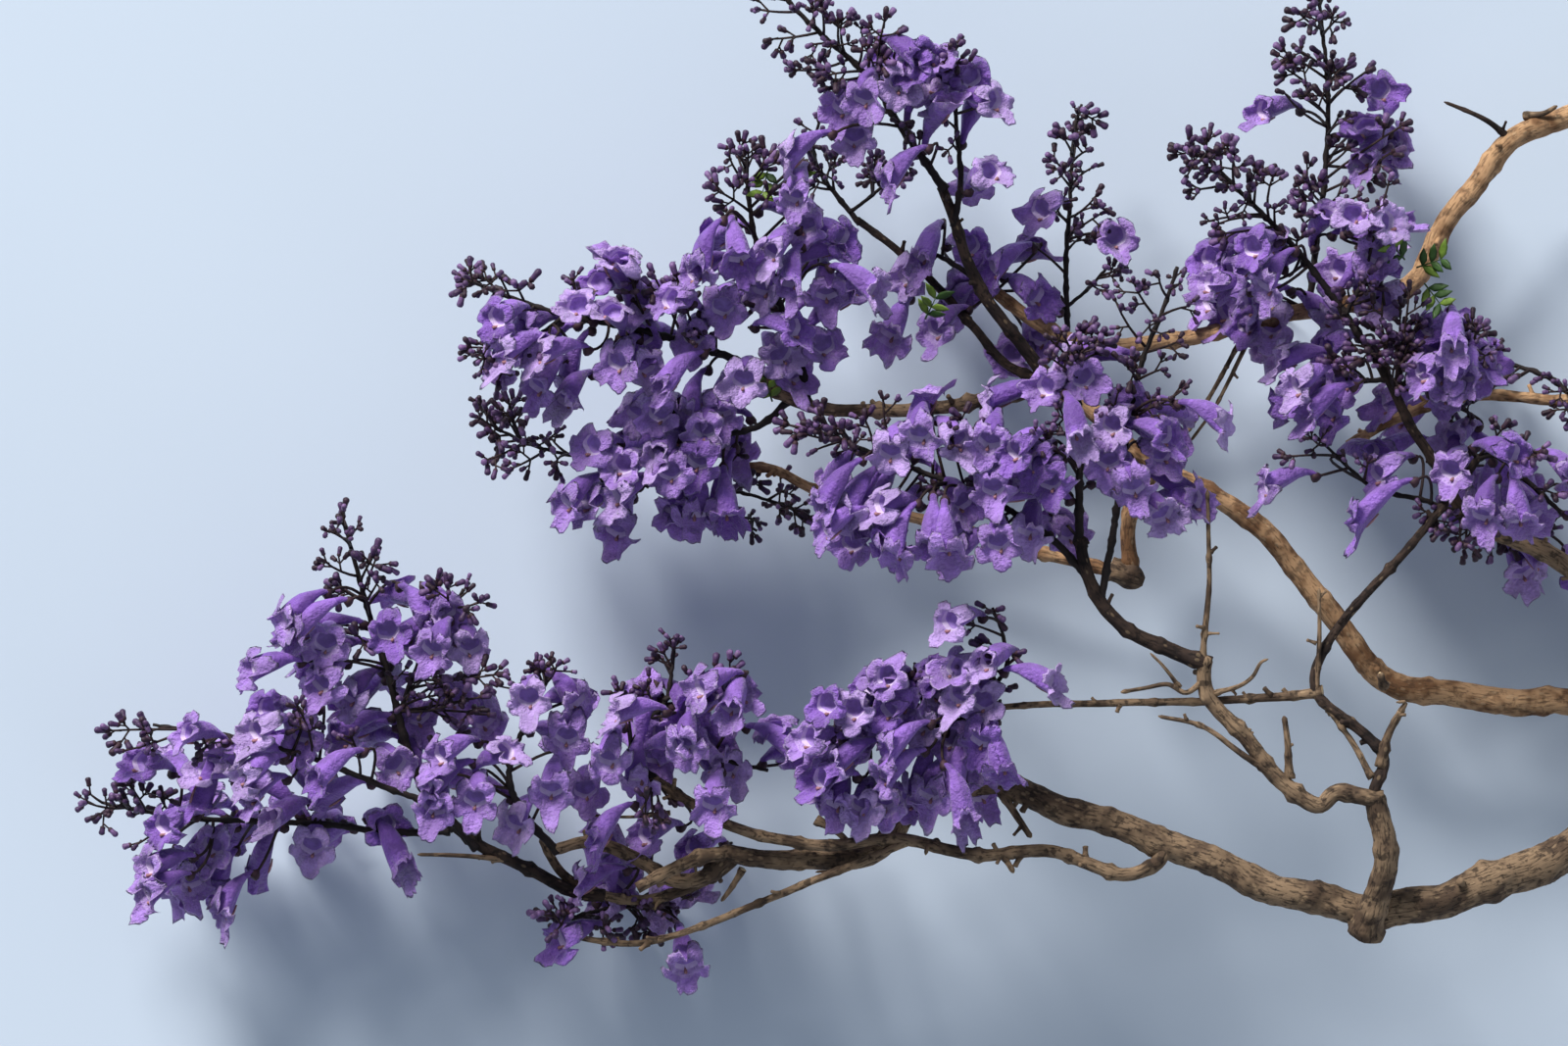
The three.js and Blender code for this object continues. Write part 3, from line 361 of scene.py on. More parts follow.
# Short dead twigs and stubs: first and last diameter, then the line
DEAD_TWIGS = (
    ((3.0, 1.8), ((212, -81, 139), (204, -86, 142), (195, -82, 143), (183, -84, 144),
        (171, -86, 145))),
    ((2.2, 1.2), ((200, -82, 142), (193, -73, 145), (186, -66, 146))),
    ((2.6, 1.4), ((221, -86, 139), (231, -83, 143), (238, -78, 145), (242, -71, 147),
        (246, -69, 148))),
    ((4.2, 2.6), ((257, -128, 138), (256, -112, 139), (254, -98, 139))),
    ((3.0, 1.6), ((271, -85, 132), (272, -60, 134), (272, -33, 135))),
    ((3.4, 2.6), ((298, -128, 135), (290, -113, 134), (272, -89, 133))),
    ((4.4, 3.0), ((109, -136, 97), (117, -147, 103), (126, -160, 108))),
    ((3.6, 2.2), ((111, -169, 108), (115, -175, 112), (117, -178, 114))),
    ((3.4, 1.8), ((77, -163, 103), (73, -165, 107), (72, -169, 109))),
    ((4.0, 2.4), ((18, -152, 98), (26, -157, 99), (34, -163, 98))),
    ((3.2, 2.2), ((-22, -178, 80), (-27, -186, 77), (-32, -193, 72))),
    ((4.0, 2.8), ((305, -82, 124), (304, -79, 127), (303, -76, 129))),
    ((2.6, 1.6), ((314, -95, 139), (316, -91, 141), (311, -91, 142))),
    ((3.4, 2.0), ((380, 208, 52), (388, 209, 56), (395, 213, 59))),
    ((2.4, 1.4), ((238, 95, 50), (222, 62, 42), (208, 42, 38))),
    ((2.0, 1.2), ((-60, -148, 74), (-80, -150, 72), (-104, -149, 72))),
    ((2.0, 1.2), ((46, -168, 88), (30, -176, 90), (16, -178, 91))),
    ((9.5, 13.0), ((168, -24, 42), (175, -27, 42), (184, -30, 42))),
    ((13.0, 13.0), ((298, -194, 112), (297, -202, 113), (295, -211, 113))),
)

# Young green leaves: foot, direction and number of leaflet pairs
LEAF_SPRAYS = (
    ((-8, 181, 104), (-0.2, -0.9, 0.3), 3),
    ((2, 184, 104), (0.5, -0.8, 0.3), 2),
    ((72, 104, 84), (0.4, 0.8, 0.5), 3),
    ((-6, 62, 90), (-0.3, 0.9, 0.4), 3),
    ((322, 130, 112), (0.9, 0.3, 0.3), 3),
    ((326, 122, 110), (0.6, -0.8, 0.3), 3),
    ((316, 134, 112), (-0.6, 0.7, 0.4), 2),
)

# Flowers seen in the photograph: mouth x and y, foot x and y, and layer, of which 2 is the front
SEEN_FLOWERS = {
    "left": (
        (-254, -52, -233, -36, 2), (-249, -57, -221, -39, 2), (-234, -64, -231, -53, 2),
        (-272, -77, -245, -71, 2), (-237, -85, -227, -76, 2), (-222, -91, -207, -78, 1),
        (-265, -97, -250, -97, 1), (-271, -109, -255, -103, 2), (-280, -113, -255, -121, 1),
        (-306, -109, -287, -112, 2), (-331, -124, -314, -128, 2), (-297, -128, -280, -133, 2),
        (-277, -132, -254, -119, 2), (-272, -141, -257, -133, 2), (-237, -132, -213, -116, 2),
        (-197, -126, -207, -116, 1), (-201, -58, -200, -46, 2), (-181, -53, -196, -33, 1),
        (-318, -157, -302, -151, 2), (-325, -178, -302, -171, 2), (-325, -192, -305, -181, 2),
        (-302, -186, -310, -168, 1), (-292, -168, -280, -156, 1), (-286, -201, -269, -178, 1),
        (-259, -152, -245, -146, 2), (-241, -168, -235, -153, 1), (-202, -157, -214, -151, 1),
        (-296, -143, -282, -148, 0), (-225, -112, -215, -106, 0), (-185, -102, -192, -93, 0),
        (-245, -111, -240, -101, 1), (-180, -67, -175, -58, 2), (-160, -66, -166, -51, 1),
        (-172, -49, -180, -38, 1), (-168, -92, -176, -80, 0), (-152, -104, -160, -92, 0),
        (-291, -191, -279, -166, 0), (-197, -173, -209, -152, 1),
    ),
    "tip": (
        (-130, -92, -127, -83, 2), (-105, -94, -119, -78, 1), (-86, -99, -61, -97, 2),
        (-111, -112, -110, -101, 1), (-176, -121, -157, -113, 2), (-139, -118, -156, -128, 2),
        (-180, -137, -159, -123, 2), (-179, -148, -175, -136, 2), (-158, -144, -155, -133, 2),
        (-119, -139, -117, -126, 2), (-137, -156, -126, -142, 1), (-89, -123, -85, -113, 2),
        (-74, -133, -71, -104, 1), (-50, -116, -47, -106, 2), (-62, -111, -55, -101, 1),
        (-27, -128, -30, -113, 1), (-36, -146, -32, -128, 2), (-27, -96, -22, -83, 2),
        (-44, -87, -22, -78, 2), (4, -117, -21, -104, 1), (-7, -106, 0, -113, 1),
        (-49, -97, -55, -91, 1), (-95, -164, -75, -143, 1), (-47, -169, -37, -166, 0),
        (-64, -122, -67, -111, 0), (-101, -139, -100, -128, 0), (-105, -187, -79, -177, 2),
        (-82, -186, -75, -178, 1), (-94, -196, -80, -191, 1), (-115, -215, -95, -207, 2),
        (-50, -228, -53, -210, 2), (-62, -198, -51, -186, 1), (-46, -188, -55, -193, 0),
        (-72, -162, -60, -158, 0),
    ),
    "inner": (
        (83, -53, 101, -49, 2), (103, -73, 114, -69, 2), (85, -76, 99, -78, 2),
        (93, -79, 102, -83, 1), (88, -91, 96, -86, 2), (101, -94, 107, -87, 2),
        (78, -89, 74, -83, 1), (52, -81, 62, -78, 2), (21, -95, 35, -92, 2), (35, -98, 46, -92, 2),
        (53, -98, 62, -92, 2), (61, -95, 69, -83, 1), (11, -112, 25, -112, 2),
        (32, -117, 44, -111, 1), (27, -125, 50, -112, 2), (18, -127, 29, -121, 1),
        (17, -133, 33, -131, 2), (27, -146, 32, -128, 1), (40, -147, 47, -131, 1),
        (51, -146, 56, -128, 1), (64, -144, 72, -133, 0), (90, -149, 82, -124, 2),
        (74, -141, 81, -123, 1), (112, -128, 108, -100, 2), (100, -114, 109, -94, 2),
        (54, -119, 76, -102, 2), (51, -132, 73, -116, 2), (84, -113, 93, -105, 1),
        (102, -141, 92, -127, 0), (137, -84, 114, -77, 2), (43, -86, 53, -83, 1),
        (76, -79, 87, -77, 1), (46, -106, 58, -103, 1), (37, -111, 48, -107, 1),
        (97, -121, 103, -106, 1), (70, -106, 77, -96, 1),
    ),
    "upper_left": (
        (-148, 102, -132, 108, 2), (-86, 134, -80, 122, 2), (-97, 121, -87, 117, 1),
        (-106, 109, -97, 102, 2), (-90, 107, -84, 94, 2), (-135, 96, -116, 102, 1),
        (-144, 84, -120, 94, 2), (-125, 84, -100, 88, 2), (-126, 67, -112, 82, 1),
        (-111, 61, -99, 74, 1), (-85, 79, -75, 92, 2), (-70, 77, -80, 87, 1), (-72, 92, -80, 99, 1),
        (-60, 112, -50, 109, 2), (-72, 111, -62, 117, 1), (-48, 125, -29, 133, 2),
        (-41, 129, -31, 154, 2), (-22, 133, -26, 153, 2), (-31, 107, -25, 121, 1),
        (-46, 92, -42, 99, 1), (-60, 69, -41, 86, 2), (-21, 70, -17, 82, 2), (-46, 54, -39, 77, 1),
        (-32, 54, -30, 74, 1), (-76, 53, -67, 64, 1), (-64, 53, -55, 62, 2), (-41, 44, -37, 57, 2),
        (-54, 42, -50, 52, 1), (-64, 33, -55, 42, 2), (-58, 23, -54, 36, 2), (-45, 28, -39, 39, 2),
        (-84, 27, -69, 32, 2), (-100, 37, -89, 39, 2), (-111, 8, -94, 22, 2), (-86, 11, -66, 22, 2),
        (-86, -7, -77, 12, 0), (-55, 4, -52, 24, 1), (-45, 2, -44, 27, 1), (-29, 2, -31, 28, 1),
        (-24, 37, -27, 52, 0), (6, 164, 9, 174, 2), (10, 149, 12, 159, 1), (31, 143, 22, 147, 1),
        (-6, 136, 0, 142, 2), (4, 121, 7, 132, 2), (-11, 117, -5, 127, 1), (22, 114, 20, 132, 1),
        (46, 117, 24, 130, 2), (7, 97, -11, 99, 2), (21, 88, 12, 94, 1), (0, 83, -7, 92, 1),
        (6, 73, 0, 79, 1),
    ),
    "top": (
        (2, 183, 26, 199, 2), (41, 214, 45, 224, 2), (29, 209, 35, 217, 1), (36, 194, 34, 208, 1),
        (59, 221, 60, 231, 2), (70, 236, 51, 246, 2), (65, 229, 75, 231, 2), (77, 236, 81, 227, 2),
        (75, 222, 82, 222, 1), (80, 216, 92, 215, 1), (96, 224, 89, 229, 1), (109, 213, 95, 214, 2),
        (54, 172, 75, 192, 2), (108, 178, 105, 176, 2),
    ),
    "back": (
        (71, 134, 75, 142, 1), (96, 139, 82, 141, 1), (107, 127, 127, 140, 1),
        (130, 113, 115, 123, 1), (54, 94, 64, 113, 1), (77, 96, 92, 107, 1), (114, 83, 120, 87, 0),
        (62, 123, 67, 127, 1), (92, 117, 90, 124, 0), (130, 91, 132, 94, 0),
    ),
    "centre": (
        (22, 8, 41, 33, 2), (21, -6, 45, 6, 2), (34, -13, 42, -6, 1), (54, 33, 57, 42, 2),
        (70, 42, 72, 52, 2), (47, 7, 67, 8, 2), (57, -18, 69, 11, 2), (75, -12, 76, 13, 2),
        (84, -16, 82, 13, 2), (92, 8, 85, 14, 1), (104, 39, 107, 49, 2), (90, 39, 82, 48, 2),
        (117, 34, 131, 43, 2), (127, 28, 132, 34, 2), (107, 15, 110, 27, 2), (136, 18, 140, 27, 2),
        (125, -7, 129, 11, 1), (110, -13, 112, 2, 2), (87, -17, 104, -7, 1), (147, -8, 140, 2, 0),
        (150, 44, 144, 64, 2), (132, 67, 142, 69, 1), (154, 71, 147, 78, 1), (167, 47, 175, 54, 2),
        (165, 29, 167, 39, 2), (196, 42, 177, 47, 2), (195, 33, 185, 39, 1), (179, 15, 177, 27, 2),
        (195, 2, 185, 17, 1), (212, 9, 192, 12, 1), (225, 48, 200, 61, 2), (180, 56, 172, 62, 1),
    ),
    "upper_right": (
        (130, 157, 139, 160, 2), (170, 143, 160, 147, 2), (244, 208, 263, 210, 1),
        (306, 218, 291, 223, 1), (297, 184, 307, 196, 1), (312, 192, 300, 198, 0),
        (295, 202, 301, 192, 1), (239, 138, 249, 142, 2), (216, 132, 231, 136, 1),
        (215, 120, 236, 118, 2), (215, 110, 236, 116, 1), (223, 105, 244, 112, 1),
        (237, 108, 256, 117, 2), (236, 99, 250, 106, 2), (248, 97, 256, 107, 1),
        (247, 90, 251, 104, 0), (246, 118, 259, 136, 2), (248, 144, 252, 136, 1),
        (279, 101, 260, 117, 1), (227, 124, 242, 124, 1), (281, 158, 276, 149, 2),
        (292, 156, 287, 148, 2), (304, 139, 281, 146, 2), (311, 152, 291, 149, 2),
        (315, 151, 299, 144, 1), (302, 133, 306, 146, 1), (281, 127, 296, 130, 0),
        (304, 111, 318, 118, 0), (305, 131, 298, 123, 1), (253, 81, 280, 85, 1),
        (261, 67, 282, 78, 2), (259, 63, 275, 69, 1), (286, 70, 293, 80, 1), (269, 55, 290, 69, 2),
        (279, 54, 289, 68, 1), (276, 86, 291, 93, 0),
    ),
    "right": (
        (327, 97, 346, 100, 1), (341, 89, 341, 99, 2), (325, 74, 339, 81, 2), (336, 73, 339, 84, 2),
        (346, 73, 350, 85, 2), (355, 75, 352, 91, 1), (337, 63, 340, 74, 1), (359, 82, 344, 87, 1),
        (331, 89, 340, 94, 1), (306, 58, 327, 65, 0), (314, 50, 332, 63, 0), (304, 33, 326, 41, 2),
        (301, 34, 287, 34, 0), (293, -1, 323, 22, 2), (245, 16, 273, 24, 2), (302, 22, 320, 32, 1),
        (340, 40, 355, 49, 2), (340, 24, 350, 37, 1), (357, 1, 364, 22, 2), (374, 33, 355, 38, 2),
        (376, -1, 372, 23, 2), (383, 1, 375, 19, 1), (402, 22, 386, 34, 1), (346, 12, 356, 24, 1),
        (386, -22, 365, -6, 2), (380, -9, 367, -3, 1), (378, -28, 372, -13, 1),
        (412, 7, 400, 17, 1), (417, -11, 402, 2, 2), (425, 2, 411, 9, 1), (407, -28, 399, -13, 1),
    ),
}

# Tips of the twigs of buds seen in the photograph: x and y
SEEN_BUDS = {
    "left": (
        (-236, -2), (-228, 4), (-215, 2), (-238, -18), (-208, -14), (-232, -30), (-206, -28),
        (-172, -30), (-158, -32), (-152, -40), (-350, -106), (-342, -118), (-336, -130),
        (-330, -108), (-360, -142), (-352, -150), (-340, -140), (-334, -150), (-222, -104),
        (-250, -88), (-300, -118), (-172, -86), (-160, -90), (-150, -88), (-162, -102), (-146, -98),
        (-197, -77), (-189, -86), (-176, -76), (-168, -93), (-155, -78), (-141, -77), (-221, -56),
        (-293, -110), (-320, -137), (-333, -167),
    ),
    "tip": (
        (-124, -72), (-114, -70), (-142, -76), (-136, -80), (-86, -78), (-74, -80), (-64, -62),
        (-56, -60), (-46, -74), (-34, -72), (-24, -76), (-106, -196), (-96, -206), (-84, -200),
        (-88, -212), (-74, -196), (-70, -208), (-60, -202), (-54, -194), (-64, -214), (-112, -204),
        (-122, -194), (-112, -198), (-42, -190), (-74, -150), (-66, -158), (-62, -148), (-55, -146),
    ),
    "inner": (
        (105, -44), (101, -59), (92, -50), (116, -84), (68, -75), (86, -67), (44, -88), (112, -66),
        (24, -110),
    ),
    "upper_left": (
        (-166, 90), (-158, 82), (-148, 68), (-142, 66), (-168, 126), (-158, 130), (-146, 128),
        (-138, 124), (-160, 56), (-150, 44), (-156, 30), (-140, 58), (-134, 40), (-142, 26),
        (-124, 46), (-118, 30), (-38, 172), (-30, 190), (-18, 194), (-8, 186), (-36, 160),
        (-4, 172), (-24, 178), (-110, 126), (-62, 30), (-20, 112), (-80, 129), (-69, 132),
        (-57, 131), (-44, 101), (-89, 88), (-121, 81), (-53, 98),
    ),
    "top": (
        (-18, 262), (-8, 268), (4, 262), (16, 266), (28, 262), (40, 258), (52, 262), (-12, 246),
        (10, 244), (26, 246), (44, 240), (58, 246), (0, 230), (18, 228), (88, 246), (98, 240),
        (60, 206), (70, 200), (80, 208), (66, 190), (84, 196),
    ),
    "back": (
        (18, 208), (8, 196), (24, 184), (12, 176), (64, 190), (56, 176), (44, 184), (-30, 18),
        (-22, 8), (-12, 2), (2, 10), (-16, 22), (14, 4), (-28, 34), (6, 20),
    ),
    "centre": (
        (-4, 52), (6, 46), (16, 56), (28, 50), (40, 58), (12, 36), (34, 38), (166, 118), (176, 126),
        (190, 128), (204, 124), (210, 112), (164, 100), (186, 104), (206, 94), (172, 84), (196, 80),
        (208, 70), (142, 98), (152, 102), (134, 86), (158, 92), (133, 97), (164, 64), (177, 80),
        (193, 63), (137, 57), (124, 47), (133, 42), (147, 57), (140, 79), (49, 69), (89, 59),
        (84, 53), (71, 17), (95, 25),
    ),
    "upper_right": (
        (150, 211), (159, 211), (142, 198), (155, 201), (157, 192), (137, 186), (160, 184),
        (140, 179), (162, 169), (150, 174), (137, 164), (165, 160), (125, 144), (150, 152),
        (172, 127), (160, 122), (250, 244), (250, 236), (261, 242), (272, 242), (280, 232),
        (290, 236), (300, 233), (262, 221), (252, 222), (272, 221), (285, 206), (272, 258),
        (260, 262), (285, 260), (270, 274), (278, 272), (320, 206), (315, 192), (292, 194),
        (280, 193), (287, 171), (297, 169), (305, 167), (310, 179), (202, 169), (207, 192),
        (215, 192), (222, 191), (230, 191), (205, 184), (212, 182), (242, 184), (250, 182),
        (262, 181), (267, 172), (260, 172), (237, 177), (227, 172), (217, 152), (210, 153),
        (250, 165), (232, 164), (260, 163), (262, 149), (220, 147), (282, 104), (292, 104),
        (277, 84), (284, 83), (287, 122), (295, 124), (300, 129), (307, 121), (297, 89), (310, 92),
        (285, 92),
    ),
    "right": (
        (307, 104), (317, 107), (325, 108), (315, 117), (305, 124), (320, 124), (312, 84),
        (320, 84), (355, 102), (362, 87), (320, 97), (334, 55), (340, 57), (347, 58), (352, 54),
        (357, 79), (360, 69), (372, 74), (385, 74), (395, 69), (370, 52), (395, 52), (400, 47),
        (390, 37), (255, 34), (270, 43), (286, 33), (325, 2), (332, -6), (345, -13), (347, -18),
        (362, -21), (372, -13), (380, 7), (390, 17), (395, -3), (355, -11), (337, 4), (428, -4),
        (420, 6),
    ),
}


def in_metres(points: Sequence[Point]) -> Array:
    """Places from the tables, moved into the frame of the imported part, in metres."""
    return np.asarray(points, dtype=float) * MM + SHIFT


def unit(vectors: Array) -> Array:
    """Vectors of length one along the last axis."""
    return vectors / np.maximum(np.linalg.norm(vectors, axis=-1, keepdims=True), LEAST_LENGTH)


def mix(first: Array | float, last: Array | float, share: Array | float) -> Array | float:
    """The value at a share of the way from first to last."""
    return (1 - share) * first + share * last


def dots(first: Array, second: Array) -> Array:
    """The dot product of each pair of rows."""
    return np.einsum("ij,ij->i", first, second)


def even_turns(sides: int) -> Array:
    """Angles that share out a full turn evenly."""
    return np.arange(sides) / sides * FULL_TURN


def circle(angle: Array, side: Array, up: Array) -> Array:
    """Directions round lines: cos(angle) side + sin(angle) up, with an axis for the angle."""
    return np.cos(angle)[:, None] * side[..., None, :] + np.sin(angle)[:, None] * up[..., None, :]


def arch(root: Array, middle: Array, tip: Array, t: Array | float) -> Array:
    """Places on an arch: (1-t)^2 root + 2 t (1-t) middle + t^2 tip."""
    return (1 - t) ** 2 * root + 2 * t * (1 - t) * middle + t ** 2 * tip


def end_middles(rings: Array) -> Array:
    """The middle of the first and of the last ring of each shell."""
    return np.stack([rings[:, 0].mean(axis=1), rings[:, -1].mean(axis=1)], axis=1)


def cross_axes(along: Array) -> tuple[Array, Array]:
    """Two directions square to a third, for one vector or many.

    Args:
        along: unit vectors, the last axis holding x, y and z.

    Returns:
        Z crossed with along, or X crossed with it where along is upright, and the direction
        square to both.
    """
    nearly_upright = 0.05
    side = np.cross((0.0, 0.0, 1.0), along)
    upright = np.linalg.norm(side, axis=-1, keepdims=True) < nearly_upright
    side = unit(np.where(upright, np.cross((1.0, 0.0, 0.0), along), side))
    return side, unit(np.cross(along, side))


def outward(along: Array, turn: float, lean: float) -> Array:
    """Direction out of a line, turned round it and leaning along it."""
    side, up = cross_axes(along)
    return unit(side * math.cos(turn) + up * math.sin(turn) + along * lean)


def linked(name: str, data: bpy.types.ID) -> bpy.types.Object:
    """A new object of the scene."""
    made = bpy.data.objects.new(name, data)
    bpy.context.scene.collection.objects.link(made)
    return made


class Stream:
    """Even random numbers from 0 to 1, drawn as the source draws them."""

    STEPS = (1000003, 10007, 1009, 31)

    def __init__(self, *place: int) -> None:
        """Starts one item's stream, from its mass's seed, stem, kind of growth and number."""
        self.state = (sum(a * b for a, b in zip(place, self.STEPS)) + 7) & WORD

    def draw(self) -> float:
        """The next number of a 32-bit mixing generator."""
        self.state = (self.state + 0x6D2B79F5) & WORD
        mixed = ((self.state ^ (self.state >> 15)) * (self.state | 1)) & WORD
        mixed ^= (mixed + (((mixed ^ (mixed >> 7)) * (mixed | 61)) & WORD)) & WORD
        return ((mixed ^ (mixed >> 14)) & WORD) / (WORD + 1)

    def spread(self, low: float, high: float) -> float:
        """The next number, between low and high."""
        return mix(low, high, self.draw())


class Curve:
    """A smooth line through points: an even Catmull-Rom spline with its ends carried on."""

    def __init__(self, points: Line) -> None:
        """Keeps the points with one more beyond each end."""
        line = np.asarray(points, dtype=float)
        self.points = np.vstack([2 * line[0] - line[1], line, 2 * line[-1] - line[-2]])
        self.pieces = len(line) - 1

    def at(self, share: Array | float) -> Array:
        """Places on the line.

        Args:
            share: how far along, from 0 to 1, in even steps from point to point.

        Returns:
            The cubic that has slope (next - previous) / 2 at each point.
        """
        place = np.clip(np.asarray(share, dtype=float), 0, 1) * self.pieces
        whole = np.minimum(np.floor(place).astype(int), self.pieces - 1)
        w = (place - whole)[..., None]
        p0, p1, p2, p3 = (self.points[whole + k] for k in range(4))
        t1, t2 = 0.5 * (p2 - p0), 0.5 * (p3 - p1)
        return (p1 + t1 * w + (-3 * p1 + 3 * p2 - 2 * t1 - t2) * w ** 2
                + (2 * p1 - 2 * p2 + t1 + t2) * w ** 3)

    def along(self, share: Array | float) -> Array:
        """The line's direction at a share of it, from two places close on either side."""
        step, share = 0.0001, np.asarray(share, dtype=float)
        return unit(self.at(np.minimum(share + step, 1)) - self.at(np.maximum(share - step, 0)))

    def evenly(self, step: float) -> tuple[Array, Array]:
        """Finds places an even step apart.

        Args:
            step: the distance between them.

        Returns:
            Their shares of the line, and their distance from its start.
        """
        fine = np.linspace(0, 1, self.pieces * 24 + 1)
        steps = np.linalg.norm(np.diff(self.at(fine), axis=0), axis=1)
        run = np.concatenate([[0], np.cumsum(steps)])
        distance = np.linspace(0, run[-1], max(4, int(round(run[-1] / step)) + 1))
        return np.interp(distance, run, fine), distance


class Skin:
    """Closed shells joined into one mesh, each face with the finish of its place."""

    def __init__(self) -> None:
        """Starts with no shells."""
        self.points: list[Array] = []
        self.quads: list[Array] = []
        self.tris: list[Array] = []
        self.quad_finish: list[Array] = []
        self.tri_finish: list[Array] = []
        self.quad_uv: list[Array] = []
        self.count = 0

    def add(self, rings: Array, poles: Array, band_finish: ArrayLike, pole_finish: ArrayLike,
            uv: Array | None = None) -> None:
        """Adds many closed shells of the same make.

        Each shell is a grid of rings by sides whose rings follow each other, closed by a fan of
        triangles round a pole at each end. A quad joins places k and k + 1 of one ring with
        the same places of the next.

        Args:
            rings: places, with axes shell, ring, side and xyz.
            poles: the two end places, with axes shell, end and xyz.
            band_finish: the finish of each quad, with axes shell, band and side.
            pole_finish: the finish of each fan, with axes shell and end.
            uv: pattern places of each quad's corners, with axes shell, band, side, corner, uv.
        """
        shells, ring_count, sides = rings.shape[:3]
        block = ring_count * sides
        flat = np.concatenate([rings.reshape(shells, block, 3), poles], axis=1)
        base = self.count + np.arange(shells)[:, None, None] * (block + 2)
        side = np.arange(sides)[None, None, :]
        after = (side + 1) % sides
        near = base + np.arange(ring_count - 1)[None, :, None] * sides
        far, top = near + sides, base + block - sides
        quads = np.stack([near + side, near + after, far + after, far + side], axis=-1)
        fans = ((base + block, base + after, base + side),
                (base + block + 1, top + side, top + after))
        tris = np.concatenate([np.stack(np.broadcast_arrays(*fan), axis=-1) for fan in fans],
                              axis=1)
        fan_finish = np.asarray(pole_finish)[..., None]
        self.points.append(flat.reshape(-1, 3))
        self.quads.append(quads.reshape(-1, 4))
        self.tris.append(tris.reshape(-1, 3))
        self.quad_finish.append(np.broadcast_to(band_finish, quads.shape[:3]).ravel())
        self.tri_finish.append(np.broadcast_to(fan_finish, tris.shape[:3]).ravel())
        blank = np.zeros((*quads.shape, 2)) if uv is None else uv
        self.quad_uv.append(blank.reshape(-1, 4, 2))
        self.count += flat.shape[0] * flat.shape[1]

    def add_tubes(self, paths: Array, radii: Array, sides: int, finish: ArrayLike) -> None:
        """Adds plain round tubes.

        A tube's places are centre + radius (cos a side + sin a up) for even angles a round
        each place of its path, closed flat at both ends.

        Args:
            paths: the middle lines, with axes tube, step and xyz.
            radii: the radius at each step, the same for all tubes or with an axis for them.
            sides: how many sides each tube has.
            finish: the finish of each tube, or one for all.
        """
        round_it = circle(even_turns(sides), *cross_axes(unit(np.gradient(paths, axis=1))))
        wide = np.broadcast_to(radii, paths.shape[:2])
        rings = paths[:, :, None] + wide[:, :, None, None] * round_it
        tone = np.broadcast_to(np.reshape(finish, (-1, 1)), (len(paths), 1))
        self.add(rings, paths[:, [0, -1]], tone[..., None], tone)

    def piece(self, name: str, finishes: Sequence[bpy.types.Material],
              with_uv: bool = False) -> bpy.types.Object:
        """Makes one smooth mesh object at the origin, with nothing of it below the floor.

        Args:
            name: the object's name.
            finishes: materials, in the order that the face finishes count them.
            with_uv: whether the pattern places are kept as a UV map.

        Returns:
            The new object, linked to the scene.
        """
        points = np.concatenate(self.points)
        points[:, 2] = np.maximum(points[:, 2], 0)
        quads, tris = np.concatenate(self.quads), np.concatenate(self.tris)
        corners = np.concatenate([quads.ravel(), tris.ravel()])
        starts = np.concatenate([np.arange(len(quads)) * 4,
                                 len(quads) * 4 + np.arange(len(tris)) * 3])
        kinds = np.concatenate(self.quad_finish + self.tri_finish)
        used = np.unique(kinds)
        mesh = bpy.data.meshes.new(name)
        mesh.vertices.add(self.count)
        mesh.loops.add(len(corners))
        mesh.polygons.add(len(starts))
        mesh.vertices.foreach_set("co", points.astype(np.float32).ravel())
        mesh.loops.foreach_set("vertex_index", corners.astype(np.int32))
        faces = {"loop_start": starts, "material_index": np.searchsorted(used, kinds),
                 "use_smooth": np.ones(len(starts))}
        for key, values in faces.items():
            mesh.polygons.foreach_set(key, values.astype(bool if key == "use_smooth" else np.int32))
        for kind in used:
            mesh.materials.append(finishes[kind])
        if with_uv:
            uv = np.concatenate([np.concatenate(self.quad_uv).reshape(-1, 2),
                                 np.zeros((len(tris) * 3, 2))])
            layer = mesh.uv_layers.new(name="bark")
            layer.data.foreach_set("uv", uv.astype(np.float32).ravel())
        mesh.update(calc_edges=True)
        mesh.validate()
        LOG.info("%s: %d triangles", name, len(quads) * 2 + len(tris))
        return linked(name, mesh)


Number = Union["Shade", float]


class Shade:
    """A socket of a node tree that takes part in Python expressions."""

    def __init__(self, tree: Tree, socket: bpy.types.NodeSocket) -> None:
        """Wraps an output socket."""
        self.tree, self.socket = tree, socket

    def _math(self, operation: str, first: Number, second: Number) -> "Shade":
        """One Math node on two values."""
        return add_node(self.tree, "ShaderNodeMath", {"operation": operation},
                        {0: first, 1: second})

    def __add__(self, other: Number) -> "Shade":
        """self + other."""
        return self._math("ADD", self, other)

    def __sub__(self, other: Number) -> "Shade":
        """self - other."""
        return self._math("SUBTRACT", self, other)

    def __rsub__(self, other: float) -> "Shade":
        """other - self."""
        return self._math("SUBTRACT", other, self)

    def __mul__(self, other: Number) -> "Shade":
        """self * other."""
        return self._math("MULTIPLY", self, other)

    __radd__, __rmul__ = __add__, __mul__

    def below(self, edge: float, width: float) -> "Shade":
        """1 where the value is under edge, falling to 0 over a width."""
        sockets = {"Value": self, "From Min": edge, "From Max": edge + width,
                   "To Min": 1.0, "To Max": 0.0}
        return add_node(self.tree, "ShaderNodeMapRange",
                        {"interpolation_type": "SMOOTHSTEP"}, sockets)


def plug(tree: Tree, node: bpy.types.Node, sockets: dict[object, object]) -> None:
    """Sets or links a node's input sockets.

    Args:
        tree: the node tree.
        node: the node.
        sockets: values or links by socket name or number.
    """
    for name, value in sockets.items():
        if isinstance(value, Shade):
            tree.links.new(value.socket, node.inputs[name])
        else:
            node.inputs[name].default_value = value


